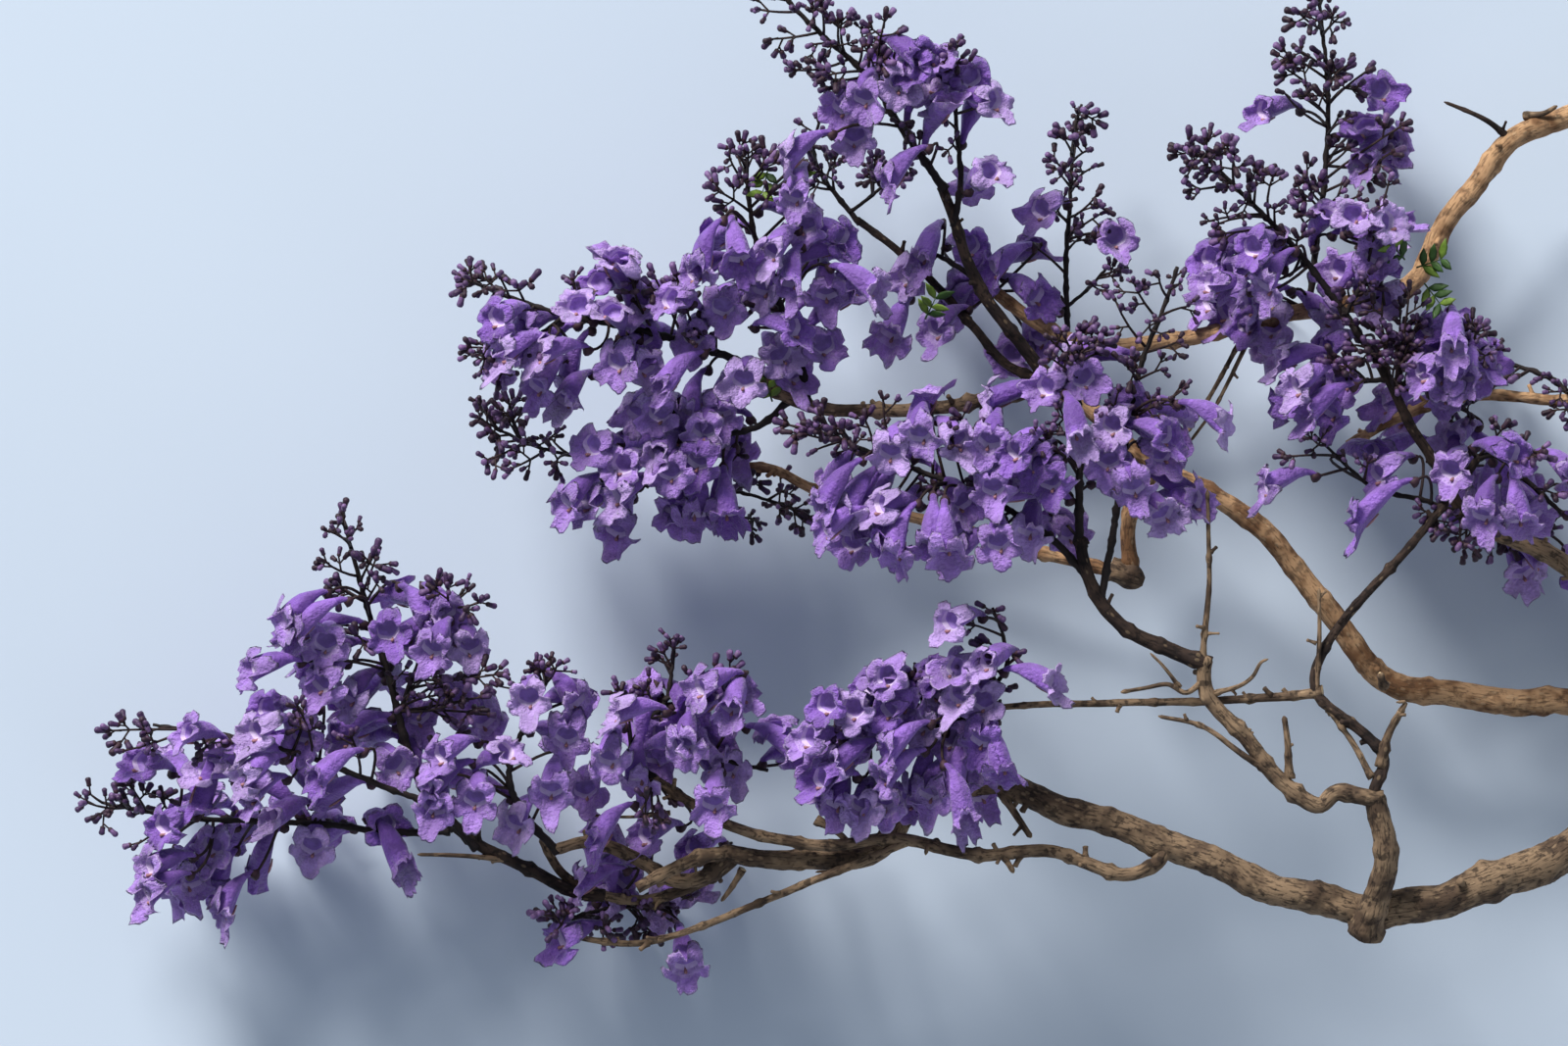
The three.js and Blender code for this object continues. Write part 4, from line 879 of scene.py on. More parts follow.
def add_node(tree: Tree, kind: str, settings: dict[str, object],
             sockets: dict[object, object], output: int | str = 0) -> Shade:
    """Adds any node.

    Args:
        tree: the node tree.
        kind: the node's type.
        settings: the node's own settings, which are set first.
        sockets: values or links by socket name or number.
        output: the output socket to hand back.

    Returns:
        The wrapped output socket.
    """
    node = tree.nodes.new(kind)
    for name, value in settings.items():
        setattr(node, name, value)
    plug(tree, node, sockets)
    return Shade(tree, node.outputs[output])


def linear(red: int, green: int, blue: int) -> tuple[float, float, float, float]:
    """A display colour of 0 to 255 a channel as the renderer's linear colour."""
    share = np.array([red, green, blue]) / 255
    value = np.where(share <= 0.04045, share / 12.92, ((share + 0.055) / 1.055) ** 2.4)
    return (float(value[0]), float(value[1]), float(value[2]), 1.0)


def coordinates(tree: Tree, output: str = "Object") -> Shade:
    """Coordinates that a pattern is read from."""
    return add_node(tree, "ShaderNodeTexCoord", {}, {}, output)


def stretched(tree: Tree, place: Shade, share: float) -> Shade:
    """Coordinates that draw a pattern out along a limb."""
    return add_node(tree, "ShaderNodeMapping", {}, {"Vector": place, "Scale": (1.0, share, 1.0)})


def mixed_colour(tree: Tree, factor: Number, first: object, second: object) -> Shade:
    """A colour between two, by a Mix node."""
    sockets = {0: factor, 6: first, 7: second}
    return add_node(tree, "ShaderNodeMix", {"data_type": "RGBA"}, sockets, 2)


def noise(tree: Tree, place: Shade, scale: float) -> Shade:
    """A noise value from 0 to 1, with features about 1 / scale metres wide."""
    sockets = {"Vector": place, "Scale": scale, "Detail": 3.0, "Roughness": 0.6}
    return add_node(tree, "ShaderNodeTexNoise", {}, sockets)


def relief(tree: Tree, height: Shade, depth: float) -> Shade:
    """A bumped normal with a relief of a depth in metres."""
    sockets = {"Height": height, "Distance": depth, "Strength": 1.0}
    return add_node(tree, "ShaderNodeBump", {}, sockets)


@dataclass(frozen=True)
class Finish:
    """What all finishes share: a name and one Principled shader."""

    name: str

    def material(self) -> bpy.types.Material:
        """Makes the material.

        Returns:
            A new material with its shader's sockets filled as the finish says.
        """
        made = bpy.data.materials.new(self.name)
        made.use_nodes = True
        shader = next(n for n in made.node_tree.nodes if n.type == "BSDF_PRINCIPLED")
        plug(made.node_tree, shader, self.sockets(made.node_tree))
        return made

    def sockets(self, tree: Tree) -> dict[str, object]:
        """The shader's values and links; each kind of finish has its own."""
        raise NotImplementedError


@dataclass(frozen=True)
class BarkFinish(Finish):
    """Bark with broad patches, long cracks, pale pores and a fine grain.

    Cracks, pores and scars say how strongly each shows; the scales are features to the metre.
    """

    base: tuple
    dark: tuple
    pale: tuple
    cracks: float
    pores: float
    scars: float
    patch_scale: float = 55
    scar_scale: float = 190
    fibre_scale: float = 900
    pore_scale: float = 260.0
    depth: float = 0.0007

    def sockets(self, tree: Tree) -> dict[str, object]:
        """Patches and scars from noise, cracks from noise drawn out, pores from cells.

        The UV map holds metres round and along the limb, so a stretched copy of it draws the
        noise out along the limb.

        Args:
            tree: the material's nodes.

        Returns:
            The colour, roughness, gloss and relief.
        """
        surface, body = coordinates(tree, "UV"), coordinates(tree)
        patches = noise(tree, body, self.patch_scale)
        blotches = noise(tree, body, self.scar_scale)
        fibre = noise(tree, stretched(tree, surface, 0.16), self.fibre_scale)
        cells = {"Vector": stretched(tree, surface, 0.55), "Scale": self.pore_scale,
                 "Randomness": 1.0}
        pore = add_node(tree, "ShaderNodeTexVoronoi", {}, cells).below(0.13, 0.12) * self.pores
        crack = fibre.below(0.36, 0.12) * self.cracks
        tone = mixed_colour(tree, patches.below(0.42, 0.2), self.base, self.pale)
        tone = mixed_colour(tree, blotches.below(0.36, 0.1) * self.scars, tone, self.dark)
        tone = mixed_colour(tree, crack, tone, self.dark)
        tone = mixed_colour(tree, pore, tone, linear(176, 150, 118))
        height = fibre * 0.5 + blotches * 0.5 + pore * 0.6 - crack * 0.5
        return {"Base Color": tone, "Roughness": 0.95 - 0.18 * patches,
                "Specular IOR Level": 0.25, "Normal": relief(tree, height, self.depth)}


@dataclass(frozen=True)
class SawnFinish(Finish):
    """A pale cut end of wood, with a fine grain."""

    def sockets(self, tree: Tree) -> dict[str, object]:
        """Fine noise between two wood colours."""
        grain = noise(tree, coordinates(tree), 700)
        tone = mixed_colour(tree, grain, linear(168, 138, 98), linear(222, 200, 160))
        return {"Base Color": tone, "Roughness": 0.8, "Normal": relief(tree, grain, 0.0003)}


@dataclass(frozen=True)
class SoftFinish(Finish):
    """Petal, bud, stem or leaf: one plain colour with faint mottling and a fine relief.

    The grain is in features to the metre and the relief's depth in metres. Glow is the share of
    light that goes through.
    """

    colour: tuple
    roughness: float
    mottle: float
    grain: float
    depth: float
    sheen: float = 0.0
    glow: float = 0.0

    def sockets(self, tree: Tree) -> dict[str, object]:
        """The colour, darkened a little by noise, over a bump of finer noise.

        Args:
            tree: the material's nodes.

        Returns:
            The colour, roughness, gloss, glow and relief.
        """
        body = coordinates(tree)
        darker = tuple(v * (1 - self.mottle * 2) for v in self.colour[:3]) + (1.0,)
        shade = noise(tree, body, self.grain * 0.35).below(0.4, 0.25)
        fine = noise(tree, body, self.grain * 2)
        return {"Base Color": mixed_colour(tree, shade, self.colour, darker),
                "Roughness": self.roughness, "Sheen Weight": self.sheen,
                "Specular IOR Level": 0.3, "Subsurface Weight": self.glow,
                "Subsurface Radius": (1.0, 0.7, 1.0), "Subsurface Scale": 0.002,
                "Normal": relief(tree, fine, self.depth)}


@dataclass(frozen=True)
class FloorFinish(Finish):
    """A pale matt floor."""

    def sockets(self, tree: Tree) -> dict[str, object]:
        """A faint cloudiness in a pale cool colour."""
        clouds = noise(tree, coordinates(tree), 1.3)
        tone = mixed_colour(tree, clouds, linear(194, 208, 224), linear(203, 215, 228))
        return {"Base Color": tone, "Roughness": 0.9, "Specular IOR Level": 0.1}


class Tone(IntEnum):
    """Which finish a face has, by its place in the list of finishes."""

    GREY, GOLDEN, DARK, SAWN, STEM, TWIG, CALYX, BUD, BUD_PALE, BUD_DEEP = range(10)
    TUBE, TUBE_DEEP, LOBE, LOBE_PALE, LOBE_DEEP, THROAT, THROAT_PALE = range(10, 17)
    FILAMENT, LEAF, LEAF_DEEP = range(17, 20)


FINISHES = (
    BarkFinish("bark_grey", linear(80, 64, 51), linear(36, 28, 24), linear(132, 110, 87),
               0.7, 0.3, 0.7),
    BarkFinish("bark_golden", linear(112, 80, 54), linear(52, 38, 31), linear(182, 145, 108),
               0.5, 0.4, 0.45),
    BarkFinish("bark_dark", linear(36, 27, 25), linear(18, 14, 13), linear(60, 47, 40),
               0.6, 0.25, 0.75),
    SawnFinish("wood_cut"),
    SoftFinish("stem_dark", linear(38, 29, 28), 0.75, 0.25, 600, 0.0004),
    SoftFinish("twig_brown", linear(54, 38, 37), 0.7, 0.25, 700, 0.0003),
    SoftFinish("calyx_brown", linear(66, 42, 52), 0.6, 0.2, 900, 0.0002),
    SoftFinish("bud_purple", linear(82, 56, 96), 0.45, 0.25, 900, 0.0002),
    SoftFinish("bud_pale", linear(122, 92, 140), 0.45, 0.2, 900, 0.0002),
    SoftFinish("bud_brown", linear(60, 40, 56), 0.5, 0.25, 900, 0.0002),
    SoftFinish("petal_tube", linear(146, 102, 198), 0.5, 0.17, 260, 0.0016, 0.25, 0.12),
    SoftFinish("petal_tube_deep", linear(118, 76, 168), 0.5, 0.16, 260, 0.0012, 0.25, 0.12),
    SoftFinish("petal_lobe", linear(172, 130, 220), 0.5, 0.18, 260, 0.003, 0.3, 0.12),
    SoftFinish("petal_lobe_pale", linear(196, 162, 234), 0.5, 0.16, 260, 0.003, 0.3, 0.12),
    SoftFinish("petal_lobe_deep", linear(144, 98, 200), 0.5, 0.18, 260, 0.003, 0.3, 0.12),
    SoftFinish("petal_throat", linear(176, 144, 218), 0.55, 0.14, 500, 0.0004, 0.0, 0.12),
    # Pale throat: partly the flower's own whitish throat, partly painted light that comes through
    # the thin petals and in at the mouth
    SoftFinish("petal_throat_pale_and_lit", linear(214, 194, 232), 0.55, 0.08, 500, 0.0004, 0.0, 0.12),
    SoftFinish("filament_brown", linear(178, 128, 132), 0.6, 0.2, 900, 0.0002),
    SoftFinish("leaf_green", linear(110, 138, 50), 0.5, 0.15, 500, 0.0002),
    SoftFinish("leaf_green_deep", linear(54, 84, 36), 0.5, 0.15, 500, 0.0002),
)


@dataclass(frozen=True)
class Bloom:
    """An open flower: its stalk's root and bend, its foot, direction and length."""

    root: Array
    bend: Array
    foot: Array
    along: Array
    length: float = 43.0

    def mouth(self) -> Array:
        """The middle of the mouth of its bell."""
        return self.foot + self.along * self.length * MOUTH_SHARE


@dataclass(frozen=True)
class Spray:
    """A twig of buds: its root, direction and length."""

    root: Array
    out: Array
    reach: float

    def tip(self) -> Array:
        """Where its last buds begin."""
        return self.root + self.out * self.reach


class Kind(IntEnum):
    """What a rounded stretch stands for."""

    LIMB, STEM, ROOT, BLOOM, BUD = range(5)


@dataclass(frozen=True)
class Stretch:
    """A straight rounded stretch that something fills."""

    kind: Kind
    a: Array
    b: Array
    radius: float


@dataclass
class Clearance:
    """Keeps the stretches already grown and says whether new ones are clear of them.

    Two tables give, for each pair of kinds, the share of both radii that must lie between their
    middle lines: one for things of the same mass, and one for the closer set finer growth.
    """

    room: int = 6000
    piece_gap: float = 0.8
    ground_gap: float = 0.5
    count: int = 0

    def __post_init__(self) -> None:
        """Makes room for all stretches, and the tables of shares."""
        self.a, self.b = np.zeros((2, self.room, 3))
        self.radius = np.zeros(self.room)
        self.kind, self.owner = np.zeros((2, self.room), dtype=int)
        self.own_share, self.fine_share = np.zeros((2, len(Kind), len(Kind)))
        self.own_share[Kind.BLOOM, :] = self.own_share[:, Kind.BLOOM] = 0.94
        self.own_share[Kind.BUD, Kind.BUD] = 0.6
        self.fine_share[Kind.BLOOM] = (0.85, 0.5, 0.3, 0.56, 0.45)
        self.fine_share[Kind.BUD] = (0.8, 0.0, 0.0, 0.45, 0.4)

    def keep(self, owner: int, stretches: Sequence[Stretch]) -> None:
        """Adds stretches of a mass or limb, by its number, to those already grown."""
        for at, stretch in enumerate(stretches, self.count):
            self.a[at], self.b[at], self.radius[at] = stretch.a, stretch.b, stretch.radius
            self.kind[at], self.owner[at] = stretch.kind, owner
        self.count += len(stretches)

    def gaps(self, a: Array, b: Array) -> Array:
        """Shortest way from one stretch's middle line to each of those already grown.

        The nearest places on two straight lines, each held within its own stretch; a stretch
        of no length is one place.

        Args:
            a: where the one stretch starts.
            b: where it ends.

        Returns:
            The distance to each of the others.
        """
        c, d = self.a[:self.count], self.b[:self.count]
        first, second, between = b - a, d - c, a - c
        aa, bb, cc = first @ first, second @ first, between @ first
        ee, ff = dots(second, second), dots(second, between)
        below = aa * ee - bb * bb
        safe_aa = aa if aa > LEAST_SQUARE else 1.0
        safe_ee = np.where(ee > LEAST_SQUARE, ee, 1)
        safe_below = np.where(below > LEAST_SQUARE, below, 1)
        s = np.where(below > LEAST_SQUARE, np.clip((bb * ff - cc * ee) / safe_below, 0, 1), 0)
        t = (bb * s + ff) / safe_ee
        held = np.clip(t, 0, 1)
        s = np.where(t != held, np.clip((bb * held - cc) / safe_aa, 0, 1), s)
        s = np.where(ee > LEAST_SQUARE, s, np.clip(-cc / safe_aa, 0, 1))
        t = np.where(ee > LEAST_SQUARE, held, 0)
        near = a + first * s[:, None]
        return np.linalg.norm(near - c - second * t[:, None], axis=1)

    def is_clear(self, owner: int, stretches: Sequence[Stretch], fine: bool = False) -> bool:
        """Whether new stretches are far enough from the ground and from all others.

        Args:
            owner: the mass that they belong to.
            stretches: what is tested.
            fine: whether the closer spacing of the finer growth holds.

        Returns:
            True where every stretch is clear.
        """
        kinds, owners = self.kind[:self.count], self.owner[:self.count]
        for stretch in stretches:
            if min(stretch.a[2], stretch.b[2]) - stretch.radius < self.ground_gap:
                return False
            both = stretch.radius + self.radius[:self.count]
            if fine:
                least = both * self.fine_share[stretch.kind][kinds]
            else:
                own = both * self.own_share[stretch.kind][kinds]
                least = np.where(owners == owner, own, both + self.piece_gap)
            if np.any((least > 0) & (self.gaps(stretch.a, stretch.b) < least)):
                return False
        return True

    def keep_line(self, owner: int, kind: Kind, curve: Curve, wide: Pair) -> None:
        """Adds the stretches that a limb or stem fills, one for each piece of its line.

        Args:
            owner: the number of the mass or limb.
            kind: what it is.
            curve: its line.
            wide: its first and last diameter.
        """
        bark_room = 0.4
        shares = np.arange(curve.pieces + 1) / curve.pieces
        places = curve.at(shares)
        radii = mix(*wide, shares) / 2 + bark_room
        self.keep(owner, [Stretch(kind, *ends) for ends in zip(places, places[1:], radii)])


class Growth(IntEnum):
    """What grows on a stem: the source's own flowers and twigs of buds, or the finer ones."""

    FLOWERS, SPRAYS, FINE_FLOWERS, FINE_SPRAYS = range(1, 5)


@dataclass
class Mass:
    """One mass of blossom, grown by the source's rule and then filled more finely.

    The aims are for sprays and then for flowers. Each gives a least part of the reach, how
    much more is drawn, a least lean and how much more it can be. In the fine aims the second
    number is the greatest part. Amounts go by the kind of growth.
    """

    row: MassRow
    clearance: Clearance
    number: int
    lobe_radius: float = 16.5
    fine_lobe_radius: float = 12.5
    lobe_gap: float = 0.5
    bell_radius: float = 6.2
    bell_gap: float = 1
    bell_shares: tuple[float, ...] = (0.4, 0.85, 0.97)
    tube_radius: float = 1.7
    tube_bend: float = 4.5
    bud_length: float = 12.0
    bud_radius: float = 3.2
    bud_gap: float = 2
    twig_radius: float = 1.1
    twig_gap: float = 0.3
    least_stalk: float = 3
    bent_share: float = 0.75
    bend_place: float = 0.6
    tries: int = 12
    next_try: float = 0.37
    last_place: float = 0.999
    share_jitter: float = 0.8
    turn_jitter: float = 0.7
    aims: tuple[tuple[float, ...], ...] = ((0.8, 0.4, 0.7, 0.8), (0.72, 0.4, 0, 0.35))
    fine_aims: tuple[tuple[float, ...], ...] = ((0.5, 1.05, 0.5, 0.9), (0.4, 1.1, 0, 0.6))
    droop: Point = (-0.16, -0.3, 0.34)
    amounts: tuple[float, ...] = (0, 1, 1, 2.3, 1.6)
    blooms: list[Bloom] = field(default_factory=list)
    sprays: list[Spray] = field(default_factory=list)
    singles: int = 0

    def __post_init__(self) -> None:
        """Lays the stems, which all masses do before anything grows on them."""
        self.curves = [Curve(stem.line) for stem in self.row.stems]
        for stem, curve in zip(self.row.stems, self.curves):
            self.clearance.keep_line(self.number, Kind.STEM, curve, stem.wide)

    def take_room(self, parts: Sequence[Stretch], fine: bool) -> bool:
        """Takes the room of some stretches where all are clear, and says whether they were."""
        clear = self.clearance.is_clear(self.number, parts, fine)
        if clear:
            self.clearance.keep(self.number, parts)
        return clear

    def add_bloom(self, bloom: Bloom, fine: bool = False) -> bool:
        """Keeps a flower where it is clear.

        Its middle line is bent: straight ahead plus half a sine to one side.

        Args:
            bloom: the flower.
            fine: whether it belongs to the finer growth.

        Returns:
            Whether it was clear.
        """
        side, _ = cross_axes(bloom.along)
        back, front, mouth = (
            bloom.foot + bloom.along * share * bloom.length
            + side * math.sin(share * math.pi * 0.9) * self.tube_bend for share in self.bell_shares)
        lobe_radius = self.fine_lobe_radius if fine else self.lobe_radius
        parts = [Stretch(Kind.ROOT, bloom.root, back, self.tube_radius * 2),
                 Stretch(Kind.BLOOM, back, front, self.bell_radius + self.bell_gap),
                 Stretch(Kind.BLOOM, mouth, mouth, lobe_radius + self.lobe_gap)]
        clear = self.take_room(parts, fine)
        if clear:
            self.blooms.append(bloom)
        return clear

    def add_spray(self, spray: Spray, fine: bool) -> bool:
        """Keeps a twig of buds where it is clear.

        Args:
            spray: the twig.
            fine: whether it belongs to the finer growth.

        Returns:
            Whether it was clear.
        """
        half, end = mix(spray.root, spray.tip(), 0.5), spray.tip() + spray.out * self.bud_length
        parts = [Stretch(Kind.ROOT, spray.root, half, self.twig_radius + self.twig_gap),
                 Stretch(Kind.BUD, half, end, self.bud_radius + self.bud_gap)]
        clear = self.take_room(parts, fine)
        if clear:
            self.sprays.append(spray)
        return clear

    def grow_singles(self) -> None:
        """Flowers with a place of their own, each on a stalk from the nearest place of its stem."""
        sunk, bend_share = 0.6, 0.4
        for stem, curve in zip(self.row.stems, self.curves):
            near = curve.at(np.arange(41) / 40)
            for mouth, facing in stem.blooms:
                along = unit(np.asarray(facing, dtype=float))
                foot = np.asarray(mouth, dtype=float) - along * Bloom.length
                root = near[np.argmin(np.linalg.norm(near - foot, axis=1))]
                bend = foot - along * np.linalg.norm(foot - root) * bend_share
                if self.add_bloom(Bloom(foot - along * sunk, bend, foot, along)):
                    self.blooms[-1] = Bloom(root, bend, foot, along)
        self.singles = len(self.blooms)

    def grow_rest(self) -> None:
        """The source's twigs of buds and then its flowers, set round each stem."""
        for growth in (Growth.SPRAYS, Growth.FLOWERS):
            for index in range(len(self.curves)):
                self.grow(index, growth)

    def grow_finer(self) -> None:
        """More flowers and sprays between those of the source, closer set, within its reach."""
        for index in range(len(self.curves)):
            self.grow(index, Growth.FINE_FLOWERS)
            self.grow(index, Growth.FINE_SPRAYS)

    def grow(self, index: int, growth: Growth) -> None:
        """Grows one kind of item on one stem.

        Each item has random numbers of its own, and a few tries at a clear place.

        Args:
            index: the stem's number.
            growth: the kind of item.
        """
        stem, curve = self.row.stems[index], self.curves[index]
        flowers = growth in (Growth.FLOWERS, Growth.FINE_FLOWERS)
        fine = growth in (Growth.FINE_FLOWERS, Growth.FINE_SPRAYS)
        count, first, last, *reaches = stem.flowers if flowers else stem.sprays
        for item in range(round(count * self.amounts[growth])):
            stream = Stream(self.row.seed, index, growth, item)
            for attempt in range(self.tries):
                draw = self.aim_finely if fine else self.aim
                share, turn, part, lean = draw(stream, flowers, count, item, attempt)
                place, reach = mix(first, last, share), mix(*reaches, share) * part
                if flowers:
                    added = self.add_bloom(self.bloom_from(curve, place, turn, reach, lean), fine)
                else:
                    place *= self.last_place
                    out = outward(curve.along(place), turn, lean)
                    added = self.add_spray(Spray(curve.at(place), out, reach), fine)
                if added:
                    break

    def aim(self, stream: Stream, flowers: bool, count: int, item: int, attempt: int) -> tuple:
        """Draws one try of the source's own growth, round the stem by the golden turn.

        Args:
            stream: the item's random numbers.
            flowers: whether it is a flower.
            count: how many items the stem has.
            item: the item's number.
            attempt: the try's number.

        Returns:
            The share of its stretch of stem, the turn, the part of its reach, and the lean.
        """
        least, more, lean, more_lean = self.aims[flowers]
        if flowers:
            share = (item + 0.5 + (stream.draw() - 0.5) * self.share_jitter) / count
        else:
            share = item / (count - 1) if count > 1 else 1
        turn = (item + attempt * self.next_try) * GOLDEN_TURN
        turn += (stream.draw() - 0.5) * self.turn_jitter
        part = least + more * stream.draw()
        leaning = stream.draw() if flowers else share
        if flowers:
            stream.draw()  # the source draws one more number for each flower
        return share, turn, part, lean + more_lean * leaning

    def aim_finely(self, stream: Stream, flowers: bool, *_: int) -> tuple:
        """Draws one try of the finer growth, at random round the stem.

        Args:
            stream: the item's random numbers.
            flowers: whether it is a flower.
            _: what aim takes besides, which has no part here.

        Returns:
            The same four numbers as aim.
        """
        least, most, lean, more_lean = self.fine_aims[flowers]
        share, part = stream.draw(), stream.spread(least, most)
        turn = stream.spread(0, FULL_TURN)
        leaning = stream.draw() if flowers else share
        return share, turn, part, lean + more_lean * leaning

    def bloom_from(self, curve: Curve, place: float, turn: float, reach: float,
                   lean: float) -> Bloom:
        """A flower that leaves its stem outward and then droops and turns to the light.

        Args:
            curve: the stem.
            place: the share of the stem that it stands at.
            turn: the angle round the stem.
            reach: how far from the stem its mouth stands.
            lean: how far it leans to the stem's tip.

        Returns:
            The flower.
        """
        root, out = curve.at(place), outward(curve.along(place), turn, lean)
        foot = root + out * max(self.least_stalk, reach - Bloom.length * self.bent_share)
        bend = mix(root, foot, self.bend_place)
        return Bloom(root, bend, foot, unit(out + np.array(self.droop)))


def under_camera(plan: Array, height: float) -> Array:
    """The place at a height that the camera sees at a place of its level plane."""
    closer = 1 - (height * MM - PLANE_HEIGHT) / CAMERA_HEIGHT
    return np.append(plan * closer, height)


@dataclass
class Panicle:
    """Neighbouring masses with the flowers and twigs of buds that the photograph shows on them.

    What the photograph shows stands where it is seen. What grew by the source's rule is kept
    where it lies hidden behind that, so that it fills the sides and the back and leaves the
    gaps open.
    """

    name: str
    masses: list[Mass]
    layers: Point = (-17.0, 5.0, 26.0)
    layer_spread: float = 4
    side_length: float = 37.0
    face_on: float = 16
    turning: float = 12
    steepest: float = 0.94
    facing_rise: Pair = (0.65, 0.98)
    sideways_rise: Pair = (0.1, 0.45)
    lengths: Pair = (33, 46)
    floor_gap: float = 17.0
    foot_gap: float = 5
    root_back: float = 0.35
    stalk_bend: float = 0.4
    bud_heights: Pair = (2, 34)
    bud_floor_gap: float = 10
    bud_root_back: Pair = (4, 0.6)
    bud_beyond: float = 6.0
    least_twig: float = 0.6
    behind: float = 6.0
    flower_cover: float = 6.0
    bud_cover: float = 5.0
    blooms: list[Bloom] = field(default_factory=list)
    sprays: list[Spray] = field(default_factory=list)
    seen_flowers: int = 0

    def __post_init__(self) -> None:
        """Keeps even places on all stems, and where each stem's first one is in the list."""
        shares = np.arange(61) / 60
        curves = [curve for mass in self.masses for curve in mass.curves]
        self.places = np.concatenate([curve.at(shares) for curve in curves])
        self.first = np.repeat(np.arange(len(curves)) * len(shares), len(shares))
        self.rng = np.random.default_rng(Seeds.PLACES + self.masses[0].row.seed)

    def nearest(self, plan: Array) -> int:
        """The stem place that is nearest in plan."""
        return int(np.argmin(np.linalg.norm(self.places[:, :2] - plan, axis=1)))

    def back_along(self, index: int, way: float) -> Array:
        """The stem place that lies a way nearer to the stem's foot."""
        run = self.places[self.first[index]:index + 1]
        return run[int(np.argmin(np.abs(np.linalg.norm(run - run[-1], axis=1) - way)))]

    def place_flower(self, mouth: Array, foot: Array, layer: int) -> Bloom:
        """Stands a seen flower up.

        A flower that looks shorter than it is points at the camera by the missing part of its
        length. Its mouth stands above its stem by the height of its layer.

        Args:
            mouth: where its mouth is seen, in plan.
            foot: where its foot is seen, in plan.
            layer: 0 for the back, 1 for the middle, 2 for the front.

        Returns:
            The flower.
        """
        flat = float(np.linalg.norm(mouth - foot))
        rise = math.sqrt(1 - min(flat / self.side_length, 1) ** 2)
        sideways = min(max(flat - self.face_on, 0) / self.turning, 1)
        facing, turned = self.rng.uniform(*self.facing_rise), self.rng.uniform(*self.sideways_rise)
        rise = min(rise, self.steepest) * mix(facing, turned, sideways)
        level = math.sqrt(1 - rise ** 2)
        length = float(np.clip(flat / level / MOUTH_SHARE, *self.lengths))
        along = unit(np.append((mouth - foot) / max(flat, 1) * level, rise))
        index = self.nearest(foot)
        height = self.places[index, 2] + self.layers[layer]
        height += self.rng.uniform(-self.layer_spread, self.layer_spread)
        height = max(height, self.floor_gap, self.foot_gap + rise * length * MOUTH_SHARE)
        start = under_camera(mouth, height) - along * length * MOUTH_SHARE
        away = float(np.linalg.norm(start - self.places[index]))
        root = self.back_along(index, away * self.root_back)
        return Bloom(root, start - along * away * self.stalk_bend, start, along, length)

    def place_twig(self, plan: Array) -> Spray:
        """Stands a seen twig of buds up, on a place nearer to the foot of its stem.

        Args:
            plan: where its tip is seen.

        Returns:
            The twig, which stops short of its tip by the length of its last buds.
        """
        index = self.nearest(plan)
        back, more = self.bud_root_back
        root = self.back_along(index, back + np.linalg.norm(self.places[index, :2] - plan) * more)
        height = self.places[index, 2] + self.rng.uniform(*self.bud_heights)
        tip = under_camera(plan, max(height, self.bud_floor_gap))
        reach = float(np.linalg.norm(tip - root))
        return Spray(root, (tip - root) / reach,
                     max(reach - self.bud_beyond, reach * self.least_twig))

    def keep_hidden(self) -> None:
        """What the rule grew, where the seen flowers and buds lie over it in plan."""
        foot = np.array([b.foot for b in self.blooms])
        mouth = np.array([b.mouth() for b in self.blooms])
        tips = np.array([s.tip() for s in self.sprays])[:, :2]
        line = (mouth - foot)[:, :2]
        squared = np.maximum(dots(line, line), 1)
        for bloom in [b for mass in self.masses for b in mass.blooms[mass.singles:]]:
            place = bloom.mouth()
            way = place[:2] - foot[:, :2]
            share = np.clip(dots(way, line) / squared, 0, 1)
            far = np.linalg.norm(way - line * share[:, None], axis=1)
            if np.any((far < self.flower_cover) & (place[2] < mouth[:, 2] - self.behind)):
                self.blooms.append(bloom)
        cover = np.concatenate([tips, mouth[:, :2]])
        for spray in [s for mass in self.masses for s in mass.sprays]:
            if np.linalg.norm(cover - spray.tip()[:2], axis=1).min() < self.bud_cover:
                self.sprays.append(spray)

    def fill(self) -> None:
        """Places everything, the seen parts first, and says how many of each there are."""
        flowers = np.array(SEEN_FLOWERS[self.name], dtype=float)
        self.blooms = [self.place_flower(row[:2], row[2:4], int(row[4])) for row in flowers]
        twigs = np.array(SEEN_BUDS[self.name], dtype=float)
        self.sprays = [self.place_twig(plan) for plan in twigs]
        self.seen_flowers, seen_twigs = len(self.blooms), len(self.sprays)
        self.keep_hidden()
        LOG.info("%s: %d of %d flowers and %d of %d twigs of buds are seen", self.name,
                 self.seen_flowers, len(self.blooms), seen_twigs, len(self.sprays))


@dataclass(frozen=True)
class Station:
    """One ring of a flower: share of its length, radius, how far it is lobed, and its finish."""

    share: float
    radius: float
    lobed: float
    tone: Tone


